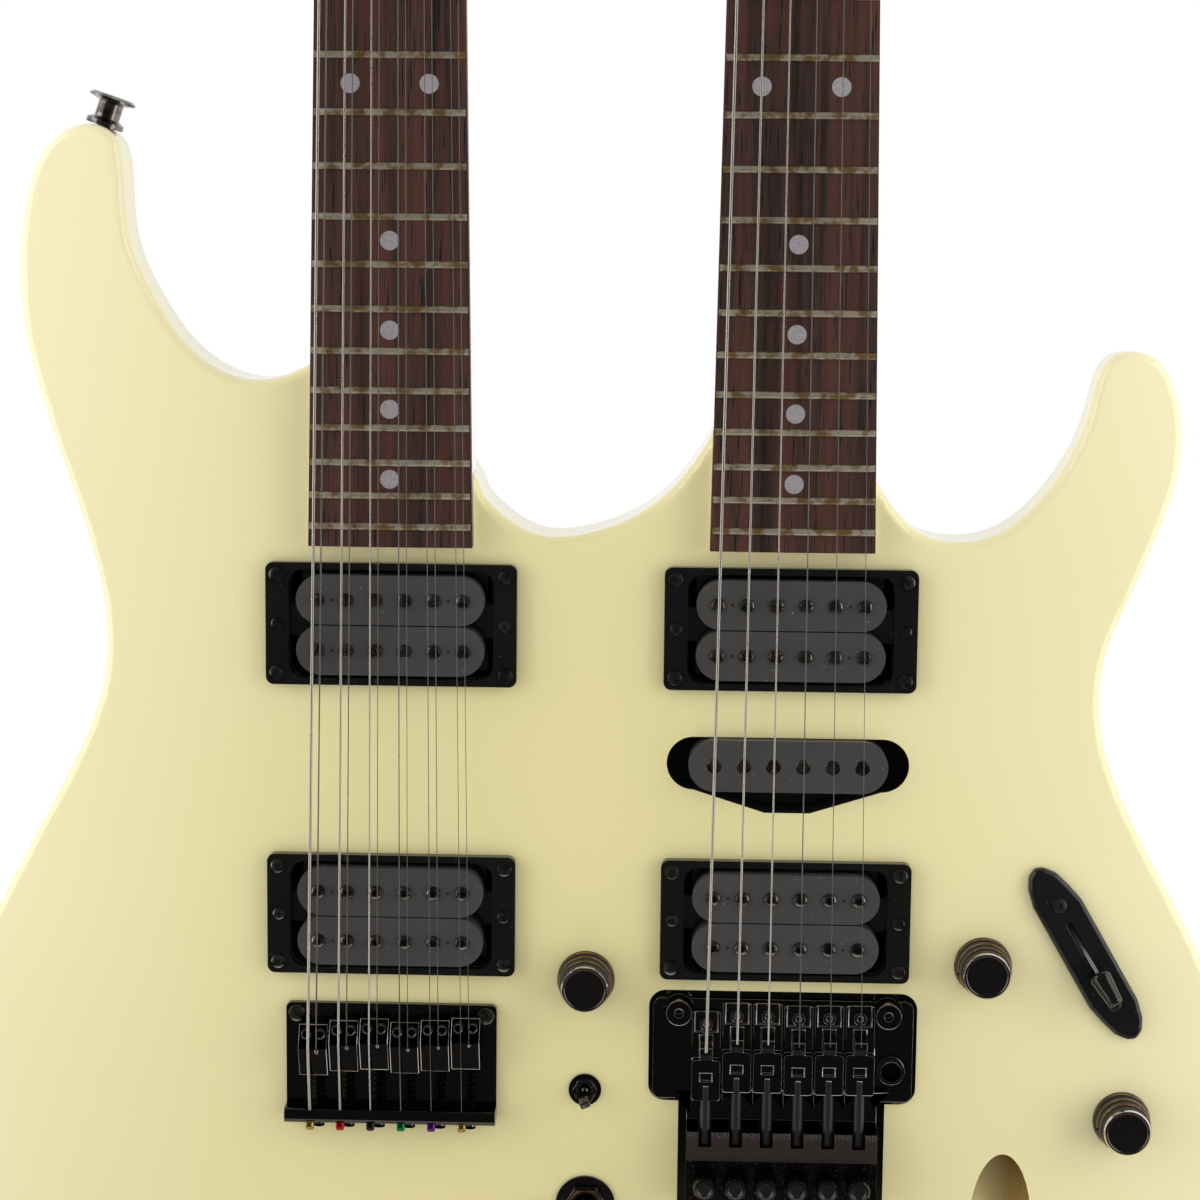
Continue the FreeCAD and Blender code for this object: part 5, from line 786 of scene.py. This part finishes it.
class GUITAR_OT_strings(bpy.types.Operator):
    """Strings of both necks, and the coloured ball ends of the pairs"""
    bl_idname = "guitar.strings"
    bl_label = "Strings"
    bl_options = {"REGISTER", "UNDO"}

    def execute(self, context):
        self.dress("strings_twelve", (0, 2, 4))
        self.dress("strings_six", (0, 1, 2))
        ends = sorted((points[points[:, 2].argmin()] for points in loose_parts("strings_twelve")),
                      key=lambda p: p[0])[::2]
        tints = ("ball_gold", "ball_red", "ball_black", "ball_green", "ball_purple", "ball_gold")
        for number, (end, tint) in enumerate(zip(ends, tints), 1):
            ball = turned([(0.7, -1.4), (1.5, -1.4), (1.9, -0.9), (1.9, 0.9), (1.5, 1.4),
                           (0.7, 1.4)], 24)
            cut(ball, turned([(0.6, -3.0), (0.6, 3.0)], 12), tint)
            spot = (end[0], end[1] - BALL_LIFT, SADDLE_Z - BALL_DROP)
            ball.matrix_world = outward(spot, (1, 0, 0))
            wear(ball, tint)
            smooth(ball)
            settle(ball, f"ball_end_{number}", "guitar")
        return {"FINISHED"}

    def dress(self, node, wound):
        """Gives the wound strings, counted from the left, bright wire and the others dark."""
        edit(merged_copy(node), "FACE", "SELECT")
        bpy.ops.mesh.separate(type="LOOSE")
        done()
        parts = sorted(bpy.context.selected_objects, key=self.left)
        for number, part in enumerate(parts):
            wear(part, "wound_string" if number in wound else "plain_string")
        strings = join(parts)
        smooth(strings, 60.0)
        stands_for(strings, node)

    def left(self, part):
        return min((part.matrix_world @ v.co for v in part.data.vertices),
                   key=lambda spot: spot.z).x


class GUITAR_OT_pickups(bpy.types.Operator):
    """Pickup rings, bobbins and pole pieces"""
    bl_idname = "guitar.pickups"
    bl_label = "Pickups"
    bl_options = {"REGISTER", "UNDO"}

    def execute(self, context):
        dressed_copy("pickup_rings", "gloss", 30.0, SOFT_EDGE)
        dressed_copy("pickup_coils", "bobbin", 40.0, SOFT_EDGE)
        poles = [(p[:, 0].mean(), p[:, 1].min(), p[:, 2].mean()) for p in
                 loose_parts("pickup_poles")]
        rows = {"slotted": [], "socket": [], "rod": []}
        for x, y, z in poles:
            rise = z - SADDLE_Z
            kind = "slotted" if rise > SLOTTED_ABOVE else "socket" if rise < SOCKET_BELOW else "rod"
            rows[kind].append(Vector((x, y, z)))
        chance = random.Random(settings().screw_turn_seed)
        self.wire_holes(rows["slotted"] + rows["socket"])
        made = [self.row(self.slotted(), rows["slotted"], chance),
                self.row(self.socket(), rows["socket"], chance),
                self.row(self.rod(), rows["rod"], chance)]
        poles = join(made)
        smooth(poles)
        stands_for(poles, "pickup_poles")
        return {"FINISHED"}

    def wire_holes(self, poles):
        """Two small holes in each bobbin, between its end poles, shown as thin black discs of
        painted shade.
        """
        spots = []
        for centre in (TWELVE_X, SIX_X):
            for height in {round(p.z, 4) for p in poles}:
                row = sorted((p for p in poles if abs(p.x - centre) < 0.04
                              and abs(p.z - height) < MM), key=lambda p: p.x)
                spots += [(row[i] + row[i + 1]) / 2 for i in (0, -2)] if len(row) == 6 else []
        # Each hole is a thin black disc: painted shade.
        hole = wear(turned([(0.62, -0.6), (0.62, -0.44)], 12), "room")
        holes = copies(hole, [outward(spot) for spot in spots])
        settle(holes, "bobbin_wire_holes", "guitar")

    def row(self, model, spots, chance):
        return copies(model, [outward(spot, turn=chance.uniform(0, math.pi)) for spot in spots])

    def slotted(self):
        head = domed_screw(2.4 * MM, 1.3 * MM, 1.2 * MM, 6.0 * MM, "nickel_dark", 24)
        # The slot here and the hex socket below are blackened as painted shade.
        return cut(self.sunk(head), bar(6 * MM, 0.75 * MM, 1.4 * MM, (0, 0, 0.7 * MM)))

    def socket(self):
        head = domed_screw(2.4 * MM, 1.4 * MM, 1.2 * MM, 6.0 * MM, "nickel_dark", 24)
        return cut(self.sunk(head), turned([(1.2, -0.9), (1.2, 2.0)], 6))

    def rod(self):
        return wear(turned([(2.6, -8.0), (2.6, -0.25), (2.35, 0.0)]), "nickel_dark")

    def sunk(self, head):
        head.location.z = -0.5 * MM
        pick(head)
        bpy.ops.object.transform_apply(location=True, rotation=True, scale=True)
        return head


class GUITAR_OT_screws(bpy.types.Operator):
    """All the screws with round heads"""
    bl_idname = "guitar.screws"
    bl_label = "Screws"
    bl_options = {"REGISTER", "UNDO"}

    def execute(self, context):
        kinds = {}
        for points in loose_parts("mounting_screws"):
            screw = Screw(points)
            kinds.setdefault(self.kind(screw), []).append(screw)
        for seed, (kind, screws) in enumerate(sorted(kinds.items())):
            first = screws[0]
            shank = 2.1 * MM if kind == "button" else 1.25 * MM
            height = first.head * (1.0 if kind in ("height", "button") else 1.15)
            radius = first.radius * (0.86 if kind == "height" else 1.0)
            tint = "satin_black" if kind == "blade" else "nickel_dark"
            model = domed_screw(radius, height, shank, first.length, tint)
            if kind == "blade":
                # The hex socket is blackened as painted shade.
                cut(model, lathe([(1.1 * MM, 0.3 * height), (1.1 * MM, 3 * height)], 6))
            else:
                cross(model, radius, height, 0.75 * height)
            turned_copies(model, screws, kind + "_screws", "mounting_screws", seed)
        return {"FINISHED"}

    def kind(self, screw):
        if screw.length > 20 * MM:
            return "button"
        if screw.out.y > 0:
            return "cover"
        if screw.seat.x > 0.15:
            return "blade"
        if screw.radius > 3.0 * MM:
            return "bridge"
        return "ring" if abs(screw.length - 9 * MM) < 0.5 * MM else "height"


class GUITAR_OT_fixed_bridge(bpy.types.Operator):
    """Fixed bridge of the twelve-string neck"""
    bl_idname = "guitar.fixed_bridge"
    bl_label = "Fixed bridge"
    bl_options = {"REGISTER", "UNDO"}

    def execute(self, context):
        # The bevelled rims get the bright rim finish, a painted highlight.
        dressed_copy("fixed_bridge_plate", "hardware", 30.0, FINE_EDGE, 50.0, "rim")
        dressed_copy("fixed_bridge_saddles", "black_mirror", 35.0, SADDLE_EDGE, 50.0, "rim",
                     clamp=False)
        return {"FINISHED"}


class GUITAR_OT_tremolo(bpy.types.Operator):
    """Locking tremolo of the six-string neck"""
    bl_idname = "guitar.tremolo"
    bl_label = "Tremolo"
    bl_options = {"REGISTER", "UNDO"}

    def execute(self, context):
        # The bevelled rims get the bright rim finish, a painted highlight.
        plate = dressed_copy("tremolo_base_plate", "hardware", 30.0, FINE_EDGE, 50.0, "rim")
        plate.data.materials.append(finishes["tail"])
        finish_faces(plate, 2, lambda c: c.z < SADDLE_Z - TAIL_DROP
                     and c.y < FACE_Y - TAIL_HEIGHT)
        saddles = dressed_copy("tremolo_saddles", "hardware", 35.0, FINE_EDGE, 50.0, "rim",
                               clamp=False)
        saddles.data.materials.append(finishes["satin_black"])
        finish_faces(saddles, 2, lambda c: c.z < SADDLE_Z - LOCK_SCREW_DROP)
        dressed_copy("tremolo_studs", "hardware", 35.0, PLAIN_EDGE, 50.0, "rim")
        for number in range(1, 7):
            self.fine_tuner(f"fine_tuner_{number}")
        for node, finish in (("sustain_block", "brass"), ("spring_claw", "steel"),
                             ("tremolo_springs", "steel")):
            dressed_copy(node, finish, 40.0)
        return {"FINISHED"}

    def fine_tuner(self, node):
        """A screw with a fluted head; its top is dished."""
        low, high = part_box(node)
        flange, base = 4.1 * MM, 0.4 * MM
        full = high.y - low.y
        shank = full - 7.8 * MM
        knob = lathe([(1.8 * MM, -shank), (1.8 * MM, base), (3.4 * MM, base),
                      (3.9 * MM, base + 0.6 * MM), (3.9 * MM, 6.4 * MM), (3.5 * MM, 7.2 * MM),
                      (2.6 * MM, 7.4 * MM), (2.2 * MM, 7.0 * MM)], 48)
        step = math.tau / 48
        select(knob, "vertices", lambda v: v.co.xy.length > 3.6 * MM
               and round(math.atan2(v.co.y, v.co.x) / step) % 4 < 2)
        bpy.ops.transform.resize(value=(flange / (3.9 * MM),) * 2 + (1,),
                                 center_override=(0, 0, 0))
        done()
        wear(knob, "hardware_satin")
        seat = high.y - shank
        knob.matrix_world = outward(((low.x + high.x) / 2, seat, (low.z + high.z) / 2))
        smooth(knob)
        stands_for(knob, node)


class GUITAR_OT_controls(bpy.types.Operator):
    """Knobs, switches and the jack"""
    bl_idname = "guitar.controls"
    bl_label = "Controls"
    bl_options = {"REGISTER", "UNDO"}

    def execute(self, context):
        for node in ("volume_knob_twelve", "volume_knob_six", "tone_knob_six"):
            self.knob(node)
        # The bevelled rims get the bright rim finish, a painted highlight.
        mounts = dressed_copy("pots_and_switches", "hardware", 35.0, PLAIN_EDGE, 50.0, "rim")
        mounts.data.materials.append(finishes["copper"])
        finish_faces(mounts, 2, lambda c: c.y < FACE_Y - SELECTOR_HEIGHT and c.z < SELECTOR_TOP)
        self.bat()
        dressed_copy("neck_selector_lever", "hardware", 45.0)
        dressed_copy("blade_switch_cover", "cover_black", 35.0, 0.9 * MM, 50.0)
        lever = dressed_copy("blade_switch_lever", "arm", 40.0)
        lever.data.materials.append(finishes["gloss"])
        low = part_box("blade_switch_lever")[0]
        finish_faces(lever, 1, lambda c: c.y < low.y + LEVER_TIP_DEPTH
                     and c.z < low.z + LEVER_TIP_RISE)
        dressed_copy("output_jack", "nickel", 35.0)
        return {"FINISHED"}

    def bat(self):
        """The mini toggle's flat bat; its end is a black rounded block."""
        dressed_copy("mini_toggle_lever", "nickel_dark", 45.0)
        low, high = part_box("mini_toggle_lever")
        lean = math.radians(12)
        aim = Vector((0.10, -math.cos(lean), -math.sin(lean)))
        end = Vector(((low.x + high.x) / 2 + 0.3 * MM, low.y + 2.4 * MM, low.z + 1.9 * MM))
        tip = bar(3.6 * MM, 2.4 * MM, 4.6 * MM)
        bevel(tip, 0.5 * MM, 3)
        wear(tip, "gloss")
        tip.matrix_world = outward(end, aim, 0.4)
        smooth(tip)
        settle(tip, "mini_toggle_tip", BODY_OF["mini_toggle_lever"])

    def knob(self, node):
        """A knob with a flat skirt, four ridges, and a cap with a mark in its rim."""
        low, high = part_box(node)
        ridges = ((10.9, 1.9), (10.3, 4.4), (9.7, 6.9), (9.2, 9.4))
        side, lid, full = 13.7, 13.8, 14.1
        profile = [(10.7, 0.0), (11.2, 0.3), (11.2, 1.3), (10.9, 1.6)]
        for radius, rise in ridges:
            profile += [(radius - 0.6, rise), (radius, rise + 0.35), (radius, rise + 1.5),
                        (radius - 0.3, rise + 1.9), (radius - 1.0, rise + 2.1)]
        profile += [(8.5, 12.0), (8.6, 12.2), (8.6, 13.2), (8.4, side), (7.9, full), (7.4, full),
                    (7.1, 13.9), (6.8, 13.85)]
        scale = (high.y - low.y) / (full * MM)
        knob = wear(turned([(r, h * scale) for r, h in profile], 64), "ridge")
        mark = bar(4 * MM, 0.9 * MM, 6 * MM, (9.0 * MM, 0, 14.5 * MM))
        mark.matrix_world = Matrix.Rotation(math.radians(190), 4, "Z")
        cut(knob, mark)
        first = len(knob.data.materials)
        for finish in ("copper", "rim", "cap"):
            knob.data.materials.append(finishes[finish])

        def height(c):
            return c.z / MM / scale

        def crest(c):
            return any(rise + 1.6 < height(c) < rise + 1.95 for radius, rise in ridges)

        finish_faces(knob, first, crest)
        # The cap's outer edge gets the bright rim finish, a painted highlight.
        finish_faces(knob, first + 1, lambda c: side < height(c) < 14.05
                     and c.xy.length > 7.8 * MM)
        finish_faces(knob, first + 2, lambda c: height(c) > lid and c.xy.length < 7.8 * MM)
        knob.matrix_world = outward(((low.x + high.x) / 2, high.y, (low.z + high.z) / 2))
        smooth(knob)
        stands_for(knob, node)


class GUITAR_OT_fittings(bpy.types.Operator):
    """Strap buttons, covers, neck bolts and tuning machines"""
    bl_idname = "guitar.fittings"
    bl_label = "Fittings"
    bl_options = {"REGISTER", "UNDO"}

    def execute(self, context):
        dressed_copy("strap_buttons", "nickel_dark", 40.0)
        dressed_copy("rear_covers", "gloss", 30.0, 0.4 * MM)
        dressed_copy("neck_bolts", "hardware", 35.0, PLAIN_EDGE)
        dressed_copy("tuner_housings", "hardware", 35.0, 0.6 * MM)
        for node in NODES:
            if node.startswith("tuner_key"):
                dressed_copy(node, "hardware", 60.0)
        return {"FINISHED"}


class GUITAR_OT_stage(bpy.types.Operator):
    """Floor, world, lamps and camera"""
    bl_idname = "guitar.stage"
    bl_label = "Stage"
    bl_options = {"REGISTER", "UNDO"}

    def execute(self, context):
        scene, stage = context.scene, context.scene.guitar_stage
        self.world(scene, stage.sky)
        self.floor()
        self.lamp("left_softbox", (-1.30, -0.55, 0.55), stage.key_power)
        self.lamp("right_softbox", (1.30, -0.55, 0.50), stage.key_power)
        camera = bpy.data.cameras.new("camera")
        camera.lens = stage.lens
        camera.sensor_width = 36.0
        holder = bpy.data.objects.new("camera", camera)
        scene.collection.objects.link(holder)
        holder.matrix_world = self.camera_pose(stage)
        scene.camera = holder
        scene.view_settings.view_transform = "Standard"
        return {"FINISHED"}

    def camera_pose(self, stage):
        """The camera's axes, from turns written in (right, up, forward) order."""
        turn = (Matrix.Rotation(stage.pan, 3, "Z") @ Matrix.Rotation(stage.tilt, 3, "X")
                @ Matrix.Rotation(stage.roll, 3, "Y"))
        right, up, forward = (Vector((row[0], row[2], row[1])) for row in turn)
        pose = Matrix((right, up, -forward)).transposed().to_4x4()
        return Matrix.Translation(stage.camera_place) @ pose

    def world(self, scene, sky):
        """White for the camera, white behind and beside for mirrors, and dim in front."""
        world = bpy.data.worlds.new("studio")
        scene.world = world
        world.use_nodes = True
        g = Graph(world.node_tree)
        toward = g.part(g.node("ShaderNodeTexCoord", {}, {}, "Generated"), "Y")
        beside = ((toward + 0.30) / 0.45).limit()
        glossy = g.seen_ray("Glossy")
        seen = g.seen_ray("Camera").most(g.seen_ray("Transmission")).most(glossy * beside)
        strength = sky - glossy * (sky - 0.05)
        dim = g.shader("ShaderNodeBackground", {"Color": (1, 1, 1), "Strength": strength})
        white = g.shader("ShaderNodeBackground", {"Color": (1, 1, 1), "Strength": 1.0})
        g.feed(g.tree.nodes["World Output"].inputs[0], g.blend(seen, dim, white))

    def floor(self):
        """White paper that keeps the shadow near the guitar and fades to plain white."""
        clear_selection()
        bpy.ops.mesh.primitive_circle_add(vertices=96, radius=FLOOR_RADIUS, fill_type="NGON",
                                          location=(0, FLOOR_Y, CAD_BOX[0][2] - 0.5 * MM))
        floor = bpy.context.object
        floor.name = "studio_floor"
        paper = Finish("floor_paper", (0.90, 0.90, 0.90), Roughness=0.8)
        spot = paper.place()
        away = (paper.part(spot, "X") ** 2.0 + paper.part(spot, "Y") ** 2.0) ** 0.5
        far = ((away - FADE_START) / FADE_WIDTH).limit()
        rays = paper.seen_ray("Camera").most(paper.seen_ray("Glossy"))
        white = paper.shader("ShaderNodeEmission", {"Color": (1, 1, 1), "Strength": 1.0})
        lit = Value(paper, paper.principled.outputs[0])
        look = paper.blend(far * rays.most(paper.seen_ray("Transmission")), lit, white)
        paper.feed(paper.tree.nodes["Material Output"].inputs[0], look)
        floor.data.materials.append(paper.material)

    def lamp(self, name, place, power):
        """A soft rectangular lamp that looks at the guitar's middle."""
        light = bpy.data.lights.new(name, "AREA")
        light.shape = "RECTANGLE"
        light.size, light.size_y = SOFTBOX
        light.energy = power
        holder = bpy.data.objects.new(name, light)
        bpy.context.scene.collection.objects.link(holder)
        aim = Vector((0, 0, LAMP_AIM_Z)) - Vector(place)
        holder.matrix_world = (Matrix.Translation(place)
                               @ aim.to_track_quat("-Z", "Y").to_matrix().to_4x4())


STEPS = (GUITAR_OT_body, GUITAR_OT_necks, GUITAR_OT_strings, GUITAR_OT_pickups,
         GUITAR_OT_screws, GUITAR_OT_fixed_bridge, GUITAR_OT_tremolo, GUITAR_OT_controls,
         GUITAR_OT_fittings, GUITAR_OT_stage)


class GUITAR_PT_panel(bpy.types.Panel):
    """Lists the guitar's steps"""
    bl_label = "Double-neck guitar"
    bl_idname = "GUITAR_PT_panel"
    bl_space_type = "VIEW_3D"
    bl_region_type = "UI"
    bl_category = "Guitar"

    def draw(self, context):
        for step in STEPS:
            self.layout.operator(step.bl_idname)
        for group in (context.scene.guitar_finish, context.scene.guitar_stage):
            for name in group.__annotations__:
                self.layout.prop(group, name)


CLASSES = (GuitarFinish, GuitarStage, *STEPS, GUITAR_PT_panel)


def register():
    for cls in CLASSES:
        bpy.utils.register_class(cls)
    bpy.types.Scene.guitar_finish = PointerProperty(type=GuitarFinish)
    bpy.types.Scene.guitar_stage = PointerProperty(type=GuitarStage)


def unregister():
    del bpy.types.Scene.guitar_stage
    del bpy.types.Scene.guitar_finish
    for cls in reversed(CLASSES):
        bpy.utils.unregister_class(cls)


def main():
    register()
    make_finishes()
    for step in STEPS:
        group, name = step.bl_idname.split(".")
        getattr(getattr(bpy.ops, group), name)()


if __name__ == "__main__":
    main()
